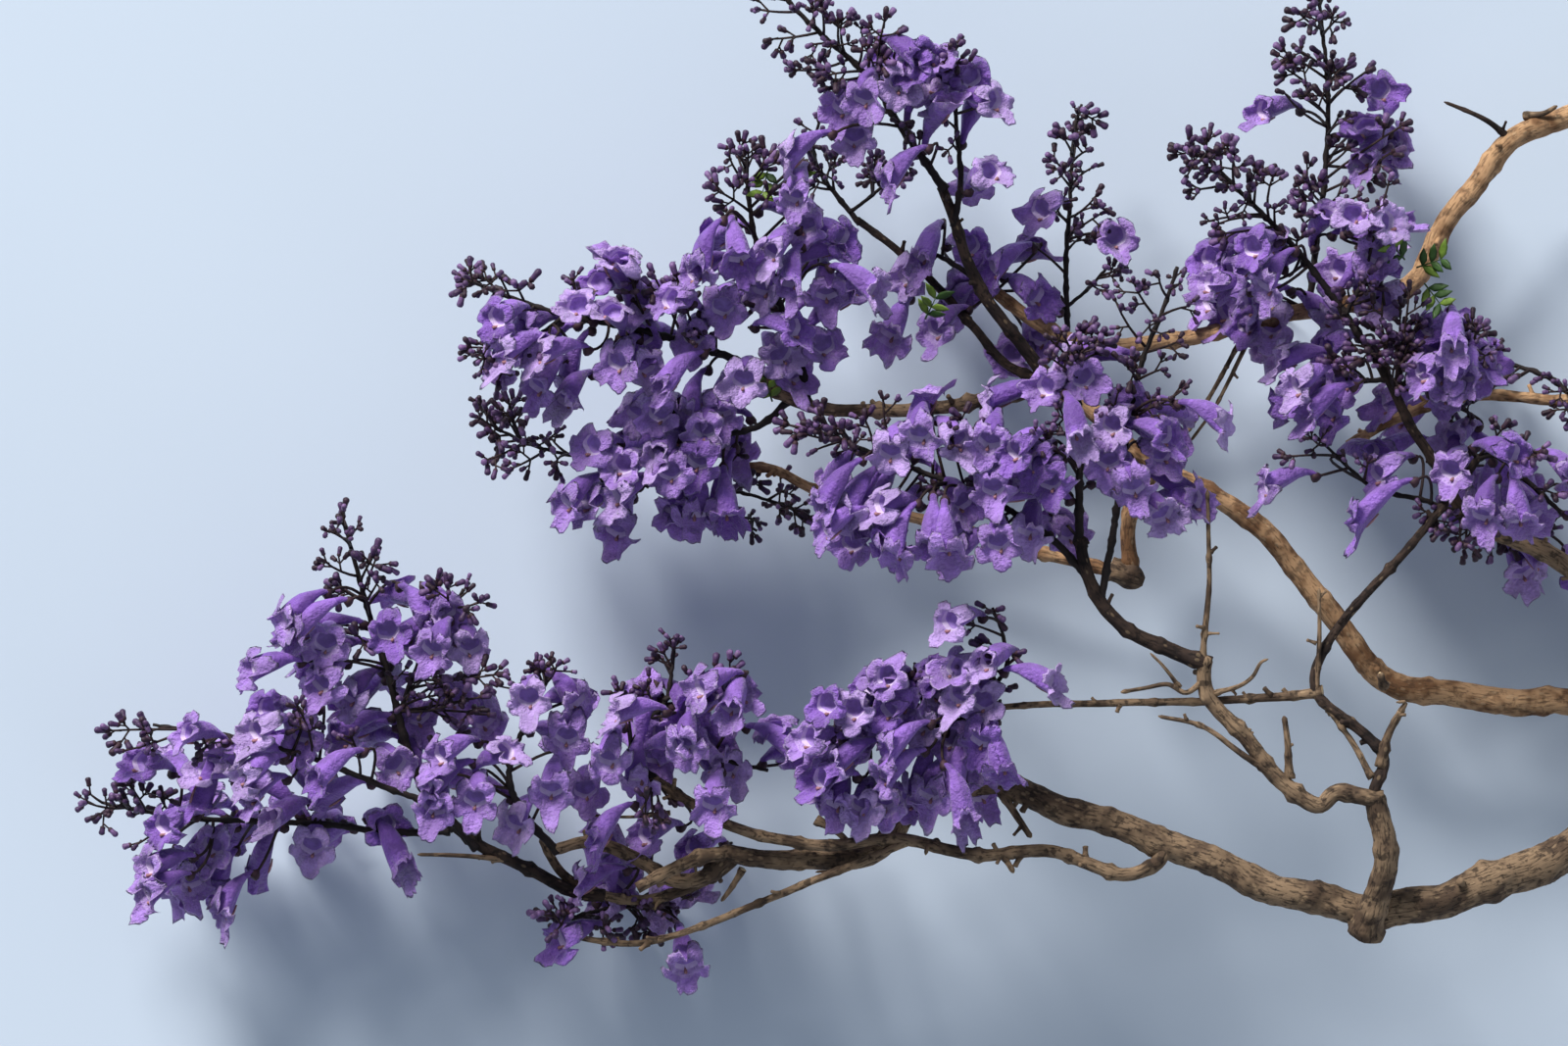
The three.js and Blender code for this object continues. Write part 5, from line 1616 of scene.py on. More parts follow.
@dataclass(frozen=True)
class FlowerMaker:
    """Builds open flowers: a bent trumpet with a wall of its own and five crumpled lobes.

    Lengths are in metres, but for those of throat and stations. A row of the filament gives a
    share of the flower's length, the way to its belly and the radius.
    """

    sides: int = 40
    lobes: int = 5
    notch_depth: float = 0.25
    throat: float = 6.0
    lip: float = 0.0032
    ruffle: float = 0.0006
    fold: float = 0.0008
    fold_turns: tuple[int, ...] = (6, 9, 14)
    ridge: float = 0.05
    twist: float = 0.002
    bend: float = 0.005
    closing: float = 0.012
    closed_below: float = 1.1
    thread_lift: float = 0.0005
    curl: tuple[float, ...] = (-0.003, -0.006, -0.006, -0.003, 0.002)
    curl_spread: float = 0.0028
    belly_down: Point = (0.1, -1.0, -0.35)
    belly_spread: float = 0.2
    oval: float = 0.9
    half_open: float = 0.1
    half_openings: Pair = (0.3, 0.6)
    openings: Pair = (0.84, 1.04)
    lobe_lengths: Pair = (0.88, 1.12)
    lobed_from: float = 0.3
    pale_below: float = 0.25
    plain_above: float = 0.5
    deep_above: float = 0.8
    deep_tubes: float = 0.35
    stations: tuple[Station, ...] = (
        Station(0.0, 1.3, 0, Tone.TUBE_DEEP),
        Station(0.08, 1.9, 0, Tone.TUBE_DEEP),
        Station(0.18, 2.1, 0, Tone.TUBE_DEEP),
        Station(0.3, 3.3, 0, Tone.TUBE),
        Station(0.42, 4.7, 0, Tone.TUBE),
        Station(0.55, 5.5, 0, Tone.TUBE),
        Station(0.68, 5.9, 0, Tone.TUBE),
        Station(0.79, 6.2, 0.1, Tone.TUBE),
        Station(0.85, 7.5, 0.4, Tone.LOBE_DEEP),
        Station(0.885, 9.8, 0.7, Tone.LOBE),
        Station(0.9, 11.9, 0.9, Tone.LOBE),
        Station(0.904, 12.9, 1, Tone.LOBE),
        Station(0.913, 11.8, 0.9, Tone.LOBE_PALE),
        Station(0.899, 9.6, 0.7, Tone.LOBE),
        Station(0.865, 7.3, 0.4, Tone.LOBE),
        Station(0.8, 5.8, 0.1, Tone.LOBE_PALE),
        # The band just inside the mouth is pale: partly the throat's own whitish colour, partly
        # painted light that comes through the thin petals and in at the mouth; further in, the
        # throat is a darker lilac.
        Station(0.73, 5.3, 0, Tone.THROAT_PALE),
        Station(0.62, 4.2, 0, Tone.THROAT),
    )
    filament: tuple[Point, ...] = (
        (0.6, 0.0012, 0.0004), (0.7, 0.0022, 0.0006), (0.8, 0.0024, 0.0009), (0.88, 0.0018, 0.0009))

    def add(self, skin: Skin, blooms: Sequence[Bloom], rng: Random) -> None:
        """Adds flowers to a skin.

        Each ring has its middle on an arched line: ahead by its share of the length, and up
        from the belly by a sine of its root, so that it bends near the foot. Its radius falls
        by notch_depth towards the sides of each of the five lobes, by the round outline
        (1 - |u|^2.4)^0.6, where u runs from -1 to 1 over a lobe. The lobed rings are pushed
        ahead at the belly; each lobe is curled back or ahead and twisted by its own amount,
        has its own length and is ruffled at random.

        Args:
            skin: the mesh that they go into.
            blooms: where they stand.
            rng: the random numbers of this piece.
        """
        n = len(blooms)
        foot = in_metres([b.foot for b in blooms])
        along = np.array([b.along for b in blooms])
        length = np.array([b.length for b in blooms]) * MM
        down = np.array(self.belly_down) + rng.normal(0, self.belly_spread, (n, 3))
        belly = unit(down - along * dots(down, along)[:, None])
        across = np.cross(along, belly)
        angle = math.pi / self.lobes + even_turns(self.sides)
        lobe = np.arange(self.sides) * self.lobes // self.sides
        share, radius, lobed = (np.array([getattr(s, key) for s in self.stations])
                                for key in ("share", "radius", "lobed"))
        opened = np.where(rng.random(n) < self.half_open, rng.uniform(*self.half_openings, n),
                          rng.uniform(*self.openings, n))
        over = (angle * self.lobes / 2 / math.pi + 0.5) % 1 * 2 - 1
        crest = (1 - np.abs(over) ** 2.4) ** 0.6
        curl = np.array(self.curl) + rng.normal(0, self.curl_spread, (n, self.lobes))
        curl = curl[:, lobe] * crest ** 0.5
        curl = curl + rng.normal(0, self.twist, (n, self.lobes))[:, lobe] * over * crest * 1.5
        stretch = rng.uniform(*self.lobe_lengths, (n, self.lobes))[:, lobe]
        stretch = 1 + (stretch - 1) * crest
        wave, pull = rng.normal(0, 1, (2, n, self.sides))
        folds = sum(np.sin(turns * angle + rng.uniform(0, 6.3, (n, 1)))
                    for turns in self.fold_turns)
        edge, half_edge = lobed[None, :, None] ** 2, lobed[None, :, None]
        spread = self.throat + (radius - self.throat) * opened[:, None]
        spread = np.where(lobed > self.lobed_from, spread, radius[None])[:, :, None]
        spread = np.where(half_edge > self.lobed_from,
                          self.throat + (spread - self.throat) * stretch[:, None], spread)
        ridge = self.ridge * np.cos(self.lobes * angle)[None, :]
        ridge = 1 + ridge * np.clip(share * 2, 0, 1)[:, None]
        r = spread * ridge[None] * (1 - half_edge * self.notch_depth * (1 - crest)) * MM
        r = r + pull[:, None] * edge * self.ruffle * 0.5
        ahead = share[None, :, None] * length[:, None, None]
        closed = (self.closed_below - opened)[:, None, None]
        ahead = ahead + closed * half_edge * self.closing
        ahead = ahead + half_edge * self.lip * np.cos(angle) + edge * half_edge * curl[:, None]
        ahead = ahead + (wave * self.ruffle + folds * self.fold)[:, None] * edge
        lift = -np.sin(share ** 0.7 * math.pi * 0.96)[None, :, None] * self.bend
        x, y = r * np.cos(angle) * self.oval + lift, r * np.sin(angle)
        rings = (foot[:, None, None] + x[..., None] * belly[:, None, None]
                 + y[..., None] * across[:, None, None] + ahead[..., None] * along[:, None, None])
        skin.add(rings, end_middles(rings), self.tones(n, rng), [[Tone.TUBE_DEEP, Tone.THROAT]])
        self.add_filaments(skin, foot + belly * self.thread_lift, belly, along, length)

    def tones(self, count: int, rng: Random) -> Array:
        """Draws the flowers' colours: some are paler and some deeper.

        Args:
            count: how many flowers there are.
            rng: the random numbers of this piece.

        Returns:
            The finish of each face, with axes flower, band and side.
        """
        bands = np.array([s.tone for s in self.stations[1:]])
        finish = np.broadcast_to(bands[None, :, None], (count, len(bands), self.sides))
        kind = rng.random(count)[:, None, None]
        tubes = (rng.random(count) < self.deep_tubes)[:, None, None]
        for chosen, old, new in ((kind < self.pale_below, Tone.LOBE, Tone.LOBE_PALE),
                                 (kind > self.plain_above, Tone.LOBE_PALE, Tone.LOBE),
                                 (kind > self.deep_above, Tone.LOBE, Tone.LOBE_DEEP),
                                 (tubes, Tone.TUBE, Tone.TUBE_DEEP)):
            finish = np.where(chosen & (finish == old), new, finish)
        return finish

    def add_filaments(self, skin: Skin, foot: Array, belly: Array, along: Array,
                      length: Array) -> None:
        """Adds the thick brown thread that lies along the belly inside each throat.

        Args:
            skin: the mesh that they go into.
            foot: where each flower starts.
            belly: its direction towards its belly.
            along: its direction ahead.
            length: its length.
        """
        ahead, low, radii = np.array(self.filament).T
        paths = (foot[:, None] + along[:, None] * (ahead[None] * length[:, None])[..., None]
                 + belly[:, None] * low[None, :, None])
        skin.add_tubes(paths, radii, 4, [Tone.FILAMENT])


@dataclass(frozen=True)
class StalkMaker:
    """Builds stems, flower stalks and the cups that flowers stand in.

    The radii of stalks and the rows of a cup, way ahead and radius, are in metres.
    """

    stem_sides: int = 8
    stem_step: float = 2.0
    node_gaps: Pair = (12, 16)
    node_swell: float = 0.34
    node_width: float = 1.6
    wobble: float = 0.15
    sunk: float = 1.5
    stalk_sides: int = 5
    stalk_steps: int = 7
    stalk_radius: Pair = (0.0009, 0.0008)
    cup_sides: int = 6
    cup: tuple[Pair, ...] = (
        (-0.0012, 0.0009), (0.0004, 0.0022), (0.0022, 0.0028), (0.004, 0.0025))

    def add_stems(self, skin: Skin, mass: Mass, rng: Random) -> None:
        """Adds a mass's stems, round and tapering, swollen a little at even nodes.

        Args:
            skin: the mesh that they go into.
            mass: the mass.
            rng: the random numbers of this piece.
        """
        for stem, curve in zip(mass.row.stems, mass.curves):
            shares, run = curve.evenly(self.stem_step)
            nodes = rng.uniform(*self.node_gaps)
            off_node = ((run / nodes + 0.5) % 1 - 0.5) * nodes / self.node_width
            swell = 1 + self.node_swell * np.exp(-off_node ** 2)
            path = curve.at(shares)
            path = path + rng.normal(0, self.wobble, path.shape)
            radius = mix(*stem.wide, shares) / 2 * swell * MM
            path = np.vstack([path[0] - curve.along(0.0) * self.sunk, path])
            radius = np.concatenate([radius[:1], radius])
            skin.add_tubes(in_metres(path)[None], radius, self.stem_sides, [Tone.STEM])

    def add_stalks(self, skin: Skin, blooms: Sequence[Bloom]) -> None:
        """Adds the flower stalks, each an arch from root to foot, as bend draws it.

        Args:
            skin: the mesh that they go into.
            blooms: their flowers.
        """
        places = (in_metres([getattr(b, key) for b in blooms])[:, None]
                  for key in ("root", "bend", "foot"))
        paths = arch(*places, np.linspace(0, 1, self.stalk_steps)[None, :, None])
        radii = np.linspace(*self.stalk_radius, self.stalk_steps)
        skin.add_tubes(paths, radii, self.stalk_sides, [Tone.TWIG])

    def add_cups(self, skin: Skin, blooms: Sequence[Bloom]) -> None:
        """Adds the cup at each flower's foot, a short bell.

        Args:
            skin: the mesh that they go into.
            blooms: their flowers.
        """
        ahead, radii = np.array(self.cup).T
        foot = in_metres([b.foot for b in blooms])
        along = np.array([b.along for b in blooms])
        paths = foot[:, None] + along[:, None] * ahead[None, :, None]
        skin.add_tubes(paths, radii, self.cup_sides, [Tone.CALYX])


@dataclass(frozen=True)
class BudMaker:
    """Builds open twigs of buds: pairs of branchlets, each ending in up to three buds.

    A node gives its share of the twig and the least reach of a twig that has it. The bud's
    profile gives shares of its length and of its radius. Twig radii are those of the twig, of
    its branchlets and of the buds' stalks, and tints how often each colour of bud comes.
    """

    nodes: tuple[Pair, ...] = ((0.5, 22.0), (0.77, 9.0))
    ageing: float = 1.3
    arc: float = 0.12
    turn_spread: float = 0.3
    branchlet: Pair = (4.5, 9.5)
    branchlets_there: float = 0.66
    end_share: float = 0.86
    pairs_there: float = 0.75
    bud_stalk: Pair = (1.8, 4.2)
    younger: float = 0.8
    twig_radii: tuple[Pair, ...] = ((0.8, 0.5), (0.55, 0.45), (0.45, 0.45))
    nods: Pair = (-0.3, 0.05)
    tints: tuple[float, ...] = (0.45, 0.25, 0.3)
    bud_length: Pair = (3.8, 7.6)
    bud_radius: Pair = (1.3, 2.0)
    bud_sides: int = 6
    bud_profile: tuple[Pair, ...] = (
        (0.0, 0.55), (0.14, 0.85), (0.3, 0.8), (0.55, 0.86), (0.78, 1.0), (0.93, 0.86), (1.0, 0.5))

    def add(self, twigs: Skin, buds: Skin, sprays: Sequence[Spray], rng: Random) -> None:
        """Adds twigs of buds.

        Args:
            twigs: the mesh that takes the twigs.
            buds: the mesh that takes the buds.
            sprays: where they stand.
            rng: the random numbers of this piece.
        """
        n = len(sprays)
        root = np.array([s.root for s in sprays])
        out = np.array([s.out for s in sprays])
        reach = np.array([s.reach for s in sprays])[:, None]
        age = rng.random((n, 1)) ** self.ageing
        side, up = cross_axes(out)
        arc = (side * rng.uniform(-1, 1, (n, 1)) + up * rng.uniform(-0.3, 1, (n, 1))) * reach
        middle = root + out * reach * 0.5 + arc * self.arc
        tip = root + out * reach
        self.add_twig(twigs, root, middle, tip, self.twig_radii[0])
        turn = rng.uniform(0, math.pi, n)
        for node, (share, least) in enumerate(self.nodes):
            base = arch(root, middle, tip, share)
            for half in (0, math.pi):
                angle = turn + node * math.pi / 2 + half + rng.normal(0, self.turn_spread, n)
                lateral = side * np.cos(angle)[:, None] + up * np.sin(angle)[:, None]
                away = unit(out * rng.uniform(0.5, 1.0, (n, 1)) + lateral)
                length = rng.uniform(*self.branchlet, (n, 1))
                there = (reach[:, 0] > least) & (rng.random(n) < self.branchlets_there)
                rows = (v[there] for v in (base, away, length, age))
                self.add_cluster(twigs, buds, *rows, rng)
        self.add_cluster(twigs, buds, mix(root, tip, self.end_share), out, reach * 0.14, age, rng)

    def add_cluster(self, twigs: Skin, buds: Skin, base: Array, away: Array, length: Array,
                    age: Array, rng: Random) -> None:
        """Adds branchlets, each with a bud at its end and a pair below it, which may be missing.

        Args:
            twigs: the mesh that takes the twigs.
            buds: the mesh that takes the buds.
            base: where each branchlet starts.
            away: its direction.
            length: its length.
            age: how far its buds have grown, from 0 to 1.
            rng: the random numbers of this piece.
        """
        n = len(base)
        if not n:
            return
        end = base + away * length
        self.add_twig(twigs, base, mix(base, end, 0.5), end, self.twig_radii[1])
        side, up = cross_axes(away)
        angle = rng.uniform(0, FULL_TURN, n)[:, None]
        lateral = side * np.cos(angle) + up * np.sin(angle)
        self.add_buds(buds, end, unit(away + rng.normal(0, 0.2, (n, 3))), age, rng)
        for sign in (-1, 1):
            there = rng.random(n) < self.pairs_there
            foot = mix(base, end, rng.uniform(0.5, 0.85))
            way = unit(away * rng.uniform(0.6, 1.2, (n, 1)) + sign * lateral)
            knee = foot + way * rng.uniform(*self.bud_stalk, (n, 1))
            places = (v[there] for v in (foot, mix(foot, knee, 0.5), knee))
            self.add_twig(twigs, *places, self.twig_radii[2])
            self.add_buds(buds, knee[there], way[there], age[there] * self.younger, rng)

    def add_twig(self, skin: Skin, root: Array, middle: Array, tip: Array, radii: Pair) -> None:
        """Adds thin arched twigs, each through three places, with a first and a last radius."""
        steps = 5
        paths = arch(*(v[:, None] for v in (root, middle, tip)),
                     np.linspace(0, 1, steps)[None, :, None])
        skin.add_tubes(in_metres(paths), np.linspace(*radii, steps) * MM, 4, [Tone.TWIG])

    def add_buds(self, skin: Skin, foot: Array, along: Array, age: Array, rng: Random) -> None:
        """Adds closed buds: slim at the foot, fattest near the blunt tip, longer with age.

        Args:
            skin: the mesh that they go into.
            foot: where each bud starts.
            along: its direction.
            age: how far it has grown, from 0 to 1.
            rng: the random numbers of this piece.
        """
        n = len(foot)
        length = mix(*self.bud_length, age[:, 0]) * rng.uniform(0.8, 1.15, n) * MM
        girth = mix(*self.bud_radius, age[:, 0]) * rng.uniform(0.85, 1.1, n) * MM
        share, wide = np.array(self.bud_profile).T
        place = in_metres(foot)
        side, up = cross_axes(along)
        round_it = circle(even_turns(self.bud_sides), side, up)
        nod = up * rng.uniform(*self.nods, (n, 1)) * length[:, None]
        middle = (place[:, None] + along[:, None] * (share[None, :] * length[:, None])[..., None]
                  + nod[:, None] * (share ** 2)[None, :, None])
        spread = (wide[None, :] * girth[:, None])[:, :, None, None]
        rings = middle[:, :, None] + spread * round_it[:, None]
        poles = np.stack([middle[:, 0], middle[:, -1] + along * length[:, None] * 0.02], axis=1)
        tint = rng.choice([Tone.BUD, Tone.BUD_PALE, Tone.BUD_DEEP], n, p=self.tints)
        bands = np.tile(tint[:, None, None], (1, len(share) - 1, self.bud_sides))
        bands[:, :2] = Tone.CALYX
        skin.add(rings, poles, bands, np.stack([np.full(n, Tone.CALYX), tint], axis=1))


@dataclass(frozen=True)
class LeafMaker:
    """Builds young leaves: a thin midrib with pairs of small leaflets.

    A leaflet's outline gives shares of its length and of its width, and its section the
    corners across it.
    """

    pair_gap: float = 4.6
    rise: float = 0.12
    rib_steps: int = 6
    rib_radii: Pair = (0.5, 0.25)
    leaflet: float = 11.0
    width: float = 2.3
    thick: float = 0.18
    droop: float = 3.0
    green: float = 0.6
    outline: tuple[Pair, ...] = ((0.02, 0.2), (0.3, 0.95), (0.6, 0.85), (0.96, 0.08))
    section: tuple[Pair, ...] = ((1, 0), (0.4, 1), (-0.4, 1), (-1, 0), (-0.4, -1), (0.4, -1))

    def add(self, skin: Skin, foot: Point, way: Point, pairs: int, rng: Random) -> None:
        """Adds one leaf with its leaflets, each a flat almond whose tip hangs.

        Args:
            skin: the mesh that it goes into.
            foot: where it starts.
            way: its direction.
            pairs: how many pairs of leaflets it has.
            rng: the leaves' random numbers.
        """
        start, out = np.asarray(foot, dtype=float), unit(np.asarray(way, dtype=float))
        side, up = cross_axes(out)
        length = pairs * self.pair_gap
        shares = np.linspace(0, 1, self.rib_steps)[:, None]
        at = np.repeat(np.linspace(0.25, 1.0, pairs), 2)[:, None]
        rib, base = (start + out * t * length + up * np.sin(t * 2.2) * length * self.rise
                     for t in (shares, at))
        radii = np.linspace(*self.rib_radii, self.rib_steps) * MM
        skin.add_tubes(in_metres(rib)[None], radii, 4, [Tone.LEAF_DEEP])
        sign = np.tile([-1.0, 1.0], pairs)[:, None]
        away = unit(out * 0.7 + side * sign + rng.normal(0, 0.12, (len(at), 3)))
        flat = unit(np.cross(away, up))
        face = np.cross(away, flat)
        run, wide = np.array(self.outline).T
        size = self.leaflet * rng.uniform(0.7, 1.1, (len(at), 1, 1))
        middle = (base[:, None] + away[:, None] * (run[None, :, None] * size)
                  - face[:, None] * (run ** 2)[None, :, None] * self.droop)
        broad, deep = np.array(self.section).T[:, None, None, :, None]
        spread = (broad * (wide * self.width)[None, :, None, None] * flat[:, None, None]
                  + deep * self.thick * face[:, None, None])
        rings = in_metres(middle[:, :, None] + spread)
        tones = np.where(rng.random((len(at), 1)) < self.green, Tone.LEAF, Tone.LEAF_DEEP)
        skin.add(rings, end_middles(rings), tones[..., None], tones)


@dataclass(frozen=True)
class BarkLimb:
    """A limb with the relief of its bark: growth swellings, knots, long furrows and a collar.

    Each set of waves gives how many there are, their height as a share of the radius, how often
    they go round, from and up to, and the range of their lengths along the limb. Knots and stubs
    have ranges too. A knot's ring and scars are shares of the radius.
    """

    step: float = 1.9
    least_sides: int = 14
    side_width: float = 1.9
    seam_turn: float = -math.pi / 2
    thin: float = 10
    thin_knots: float = 2.2
    waves: tuple[tuple[int, float, tuple[int, int], Pair], ...] = (
        (7, 0.02, (1, 4), (16, 60)), (9, 0.011, (4, 7), (6, 22)))
    knot_starts: Pair = (6, 20)
    knot_turns: Pair = (0, 3)
    knot_gaps: Pair = (12, 28)
    knot_rings: Pair = (0.03, 0.08)
    knot_scars: Pair = (0.08, 0.22)
    knot_turn_spread: float = 0.2
    stub_gaps: Pair = (26, 60)
    stub_shares: Pair = (0.12, 0.95)
    stub_leans: Pair = (0.1, 0.9)
    stub_lengths: Pair = (1.5, 6)
    stub_radii: Pair = (0.75, 1.4)
    stub_bend: float = 0.8
    stub_shape: tuple[Pair, ...] = ((0.2, 1.5), (0.5, 1.0), (0.75, 0.9), (0.95, 1.0), (1.0, 0.55))
    stub_sides: int = 7
    collar: float = 0.4
    wander: float = 0.12
    sunk: float = 2
    flat_ends: tuple[str, ...] = ("tip_stub", "back_limb", "right_spur", "elbow_spur")
    sawn: str = "main_bough"

    def relief(self, run: Array, angle: Array, wide: float, rng: Random) -> Array:
        """The factor on the radius.

        One plus slow waves round and along the limb, plus finer waves drawn out along it, plus
        knots: a low ring and a pair of leaf scars, each a bell curve of the way along it. Thin
        limbs have the stronger knots.

        Args:
            run: distance along the limb.
            angle: angle round it.
            wide: its mean diameter.
            rng: the limb's random numbers.

        Returns:
            One factor for each ring and side.
        """
        s, a = run[:, None], angle[None, :]
        total = np.ones((len(run), len(angle)))
        strong = self.thin_knots if wide < self.thin else 1.0
        for count, high, turns, lengths in self.waves:
            for _ in range(count):
                turn, wave, phase = rng.integers(*turns), rng.uniform(*lengths), rng.uniform(0, 6.3)
                total += high * np.sin(turn * a + s / wave * 2 * math.pi + phase)
        place, turn = rng.uniform(*self.knot_starts), rng.uniform(*self.knot_turns)
        while place < run[-1]:
            near = np.exp(-((s - place) / (1.2 + 0.16 * wide)) ** 2)
            scars = np.clip(np.cos(a - turn), 0, 1) ** 6 + np.clip(-np.cos(a - turn), 0, 1) ** 6
            ring = rng.uniform(*self.knot_rings)
            total += near * (ring + rng.uniform(*self.knot_scars) * scars) * strong
            place += rng.uniform(*self.knot_gaps) + wide * 0.6
            turn += math.pi / 2 + rng.normal(0, self.knot_turn_spread)
        return total

    def add_stubs(self, skin: Skin, curve: Curve, row: LimbRow, tone: Tone, rng: Random) -> None:
        """Adds short broken twigs that stand on a limb at random places, each bent and blunt.

        Args:
            skin: the mesh that they go into.
            curve: the limb's line.
            row: the limb.
            tone: its finish.
            rng: the limb's random numbers.
        """
        t, shape = np.array(self.stub_shape).T
        t = t[:, None]
        _, run = curve.evenly(self.step)
        for _ in range(int(run[-1] / self.stub_gaps[row.first_wide >= self.thin])):
            share = rng.uniform(*self.stub_shares)
            wide = mix(row.first_wide, row.last_wide, share)
            along = curve.along(share)
            _, up = cross_axes(along)
            out = outward(along, rng.uniform(0, FULL_TURN), rng.uniform(*self.stub_leans))
            length = wide / 2 + rng.uniform(*self.stub_lengths)
            sag = rng.normal(0, self.stub_bend)
            path = in_metres(curve.at(share) + out * length * t + up * sag * t ** 2)
            radius = rng.uniform(*self.stub_radii) * min(1.6, 0.8 + wide / 20) * shape * MM
            if path[:, 2].min() > radius.max():
                skin.add_tubes(path[None], radius, self.stub_sides, [tone])

    def add(self, skin: Skin, row: LimbRow, rng: Random) -> None:
        """Adds one limb: rings along its line, each radius the taper times the relief.

        Args:
            skin: the mesh that it goes into.
            row: the limb.
            rng: its random numbers.
        """
        tone, curve = Tone[row.bark.name], Curve(row.line)
        shares, run = curve.evenly(self.step)
        centre, along = curve.at(shares), curve.along(shares)
        wide = (row.first_wide + row.last_wide) / 2
        sides = max(self.least_sides, int(wide * math.pi / self.side_width / 2) * 2)
        angle = self.seam_turn + even_turns(sides)
        radius = mix(row.first_wide, row.last_wide, shares) / 2
        if row.name not in CARRIED_ON:
            radius = radius * (1 + self.collar * np.exp(-run / (0.7 * row.first_wide)))
        if row.name not in self.flat_ends:
            left = np.clip((run[-1] - run) / radius[-1], 0.06, 1)
            radius = radius * np.sqrt(1 - (1 - left) ** 2)
        side, up = cross_axes(along)
        sway = np.stack([np.sin(run / 9 + 1), np.cos(run / 7)], axis=1)
        sway = self.wander * radius[:, None] * sway
        sway[0] = 0
        centre = centre + side * sway[:, :1] + up * sway[:, 1:]
        full = radius[:, None] * self.relief(run, angle, wide, rng)
        if row.name != self.sawn:
            centre = np.vstack([centre[0] - along[0] * self.sunk, centre])
            side, up, full = (np.vstack([v[:1], v]) for v in (side, up, full))
            run = np.append(-self.sunk, run)
        rings = in_metres(centre[:, None] + full[..., None] * circle(angle, side, up))
        rings[..., 2] = np.maximum(rings[..., 2], 0)
        u, v = np.arange(sides + 1) / sides * math.pi * wide * MM, run * MM
        low, high, left, right = v[:-1, None], v[1:, None], u[None, :-1], u[None, 1:]
        corners = ((left, low), (right, low), (right, high), (left, high))
        uv = np.stack([np.stack(np.broadcast_arrays(*corner), axis=-1) for corner in corners],
                      axis=2)
        skin.add(rings[None], in_metres(centre[[0, -1]])[None], [[[tone]]],
                 [[Tone.SAWN, Tone.SAWN]], uv[None])
        self.add_stubs(skin, curve, row, tone, rng)


@dataclass(frozen=True)
class Light:
    """A square soft light: its name, place in metres, side, power in watts and colour."""

    name: str
    place: Point
    size: float
    power: float
    colour: Point


@dataclass(frozen=True)
class Studio:
    """The pale floor, the soft lights and the camera that looks down on the branch, in metres."""

    floor_half: float = 14.0
    frame_width: float = 0.8
    sensor: float = 36.0
    view_end: float = 200
    lit_place: Point = (0, 0, 0.05)
    sky_power: float = 0.42
    lights: tuple[Light, ...] = (
        Light("key_light", (-5.2, 10.0, 6.4), 4.4, 2800, (1.0, 0.97, 0.93)),
        Light("fill_light", (3.2, -3.0, 1.8), 2.4, 26, (0.92, 0.95, 1.0)),
    )

    def build_floor(self) -> None:
        """A wide flat floor at the height of the branch's lowest place."""
        half = self.floor_half
        mesh = bpy.data.meshes.new("pale_floor")
        corners = [(-half, -half, 0), (half, -half, 0), (half, half, 0), (-half, half, 0)]
        mesh.from_pydata(corners, [], [(0, 1, 2, 3)])
        mesh.materials.append(FloorFinish("floor_pale").material())
        linked("pale_floor", mesh)

    def build_light(self, light: Light) -> None:
        """Adds one soft light that points at the branch.

        Args:
            light: what it is like.
        """
        data = bpy.data.lights.new(light.name, "AREA")
        data.size, data.energy, data.color = light.size, light.power, light.colour
        made = linked(light.name, data)
        made.location = light.place
        way = Vector(self.lit_place) - Vector(light.place)
        made.rotation_euler = way.to_track_quat("-Z", "Y").to_euler()

    def build_camera(self) -> None:
        """A long lens straight above, so that the frame's middle is the tables' origin.

        The lens is the sensor's width times the distance over the width that the frame shows.
        """
        data = bpy.data.cameras.new("camera")
        data.sensor_width = self.sensor
        data.lens = self.sensor * CAMERA_HEIGHT / self.frame_width
        data.clip_end = self.view_end
        made = linked("camera", data)
        made.location = (SHIFT[0], SHIFT[1], PLANE_HEIGHT + CAMERA_HEIGHT)
        bpy.context.scene.camera = made

    def build_world(self) -> None:
        """Even pale light from all round."""
        world = bpy.data.worlds.new("soft_sky")
        world.use_nodes = True
        background = next(n for n in world.node_tree.nodes if n.type == "BACKGROUND")
        sockets = {"Color": linear(214, 226, 242), "Strength": self.sky_power}
        plug(world.node_tree, background, sockets)
        bpy.context.scene.world = world
        bpy.context.scene.view_settings.view_transform = "Standard"

    def build(self) -> None:
        """Floor, lights, world and camera."""
        self.build_floor()
        for light in self.lights:
            self.build_light(light)
        self.build_world()
        self.build_camera()


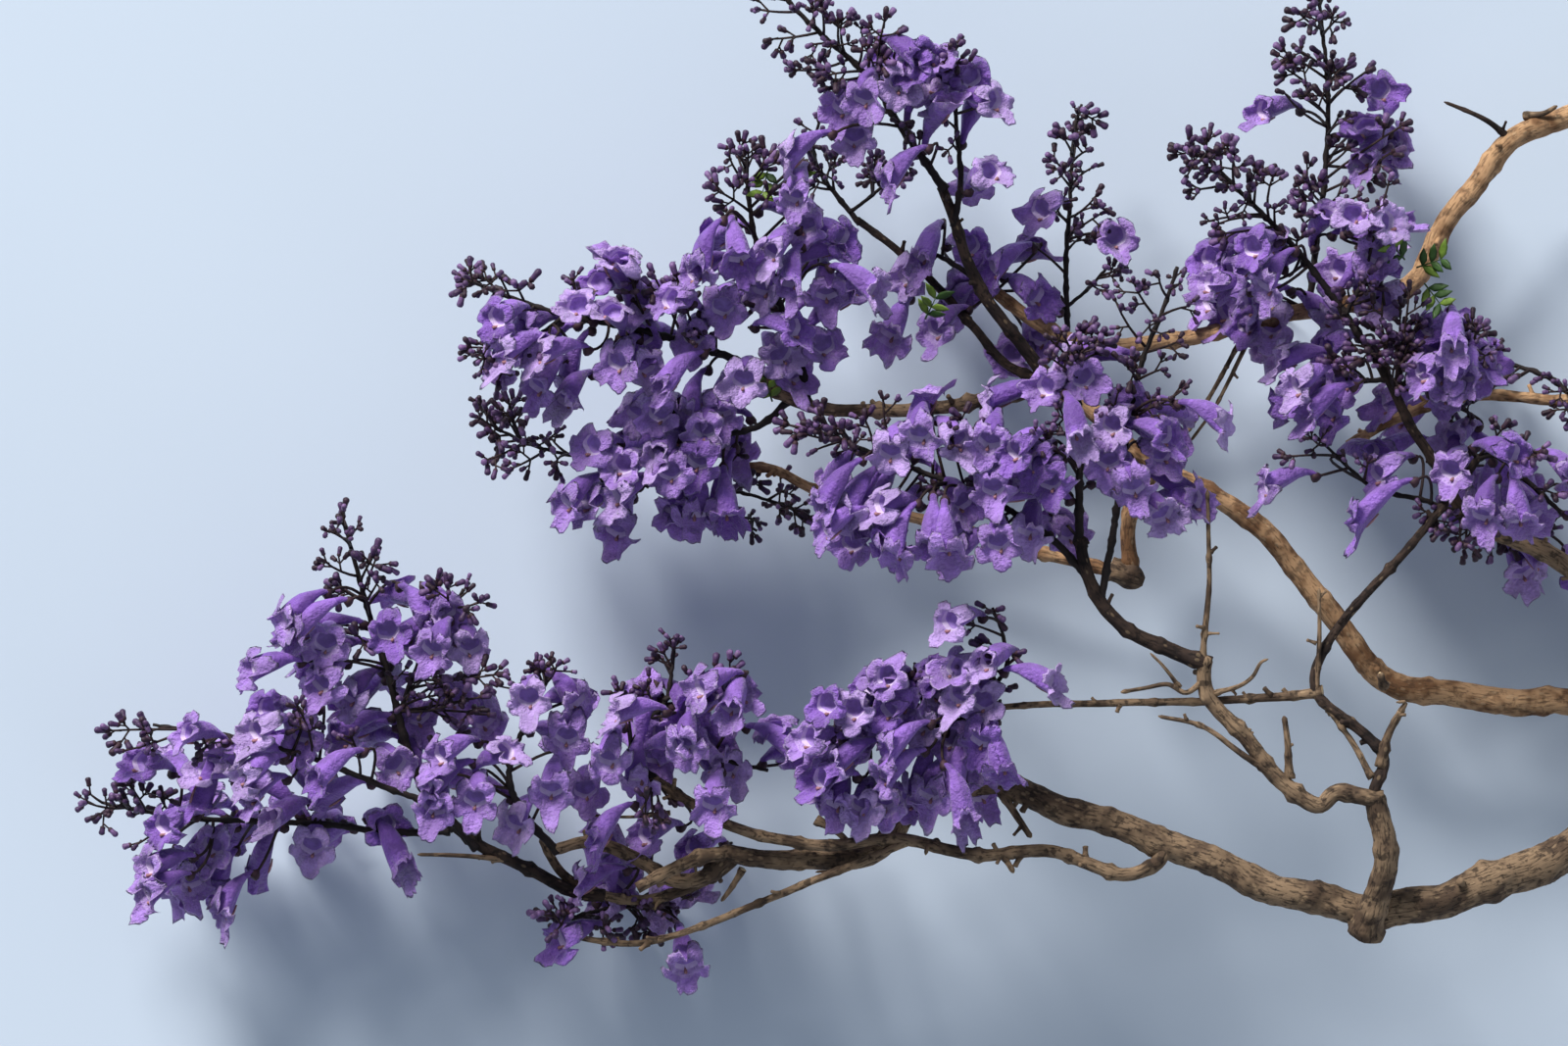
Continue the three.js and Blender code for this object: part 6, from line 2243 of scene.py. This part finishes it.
@dataclass
class Branch:
    """The whole branch: its limbs, and its masses of blossom grown together."""

    materials: list[bpy.types.Material]
    clearance: Clearance = field(default_factory=Clearance)
    masses: list[Mass] = field(default_factory=list)
    twig_bark: BarkLimb = BarkLimb(step=1.4, least_sides=8)
    hidden_sides: int = 20

    def grow(self) -> None:
        """Limbs and stems take their room first, then single flowers, then the rest."""
        for number, row in enumerate(LIMB_ROWS, 1):
            wide = (row.first_wide, row.last_wide)
            self.clearance.keep_line(-number, Kind.LIMB, Curve(row.line), wide)
        self.masses = [Mass(row, self.clearance, number) for number, row in enumerate(MASS_ROWS)]
        for step in (Mass.grow_singles, Mass.grow_rest, Mass.grow_finer):
            for mass in self.masses:
                step(mass)

    def dress(self, skin: Skin, name: str, nodes: Sequence[str],
              with_uv: bool = False) -> None:
        """Makes a piece and sets it on the branch's body.

        Args:
            skin: its mesh.
            name: its name.
            nodes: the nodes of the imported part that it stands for, if any.
            with_uv: whether its pattern places are kept.
        """
        made = skin.piece(name, self.materials, with_uv)
        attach(made, "root")
        if nodes:
            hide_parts(*nodes)

    def build_limbs(self) -> None:
        """One piece of bark for each limb, and one for the dead twigs."""
        for seed, row in enumerate(LIMB_ROWS, Seeds.LIMBS):
            skin = Skin()
            BarkLimb().add(skin, row, np.random.default_rng(seed))
            self.dress(skin, row.name + "_bark", [row.name], True)
        skin = Skin()
        for seed, (wide, line) in enumerate(DEAD_TWIGS, Seeds.DEAD_TWIGS):
            twig = LimbRow("dead_twig", Bark.GREY, *wide, line)
            self.twig_bark.add(skin, twig, np.random.default_rng(seed))
        self.dress(skin, "dead_twigs", [], True)

    def build_region(self, region: str, seeds: Sequence[int]) -> None:
        """The flowers, buds and twigs of some neighbouring masses, each kind joined.

        Args:
            region: the name that the pieces start with.
            seeds: the seeds of its masses.
        """
        masses = [mass for mass in self.masses if mass.row.seed in seeds]
        nodes = [mass.row.name for mass in masses]
        panicle = Panicle(region, masses)
        panicle.fill()
        rng = np.random.default_rng(Seeds.REGIONS + seeds[0])
        flowers, twigs, buds = Skin(), Skin(), Skin()
        stalks = StalkMaker()
        for mass in masses:
            stalks.add_stems(twigs, mass, rng)
        seen, hidden = FlowerMaker(), FlowerMaker(sides=self.hidden_sides)
        seen.add(flowers, panicle.blooms[:panicle.seen_flowers], rng)
        if panicle.blooms[panicle.seen_flowers:]:
            hidden.add(flowers, panicle.blooms[panicle.seen_flowers:], rng)
        stalks.add_stalks(twigs, panicle.blooms)
        stalks.add_cups(buds, panicle.blooms)
        BudMaker().add(twigs, buds, panicle.sprays, rng)
        self.dress(flowers, region + "_flowers", nodes)
        self.dress(buds, region + "_buds", nodes)
        self.dress(twigs, region + "_twigs", nodes)

    def build_leaves(self) -> None:
        """The few young leaves."""
        skin, rng = Skin(), np.random.default_rng(Seeds.LEAVES)
        for foot, way, pairs in LEAF_SPRAYS:
            LeafMaker().add(skin, foot, way, pairs, rng)
        self.dress(skin, "young_leaves", [])

    def build(self) -> None:
        """Grows everything and makes all the pieces."""
        self.grow()
        self.build_limbs()
        for region, seeds in REGIONS.items():
            self.build_region(region, seeds)
        self.build_leaves()


def main() -> None:
    """Builds the studio and the branch, and logs the sizes of the pieces."""
    logging.basicConfig(level=logging.INFO, format="%(message)s")
    Studio().build()
    Branch([finish.material() for finish in FINISHES]).build()


if __name__ == "__main__":
    main()
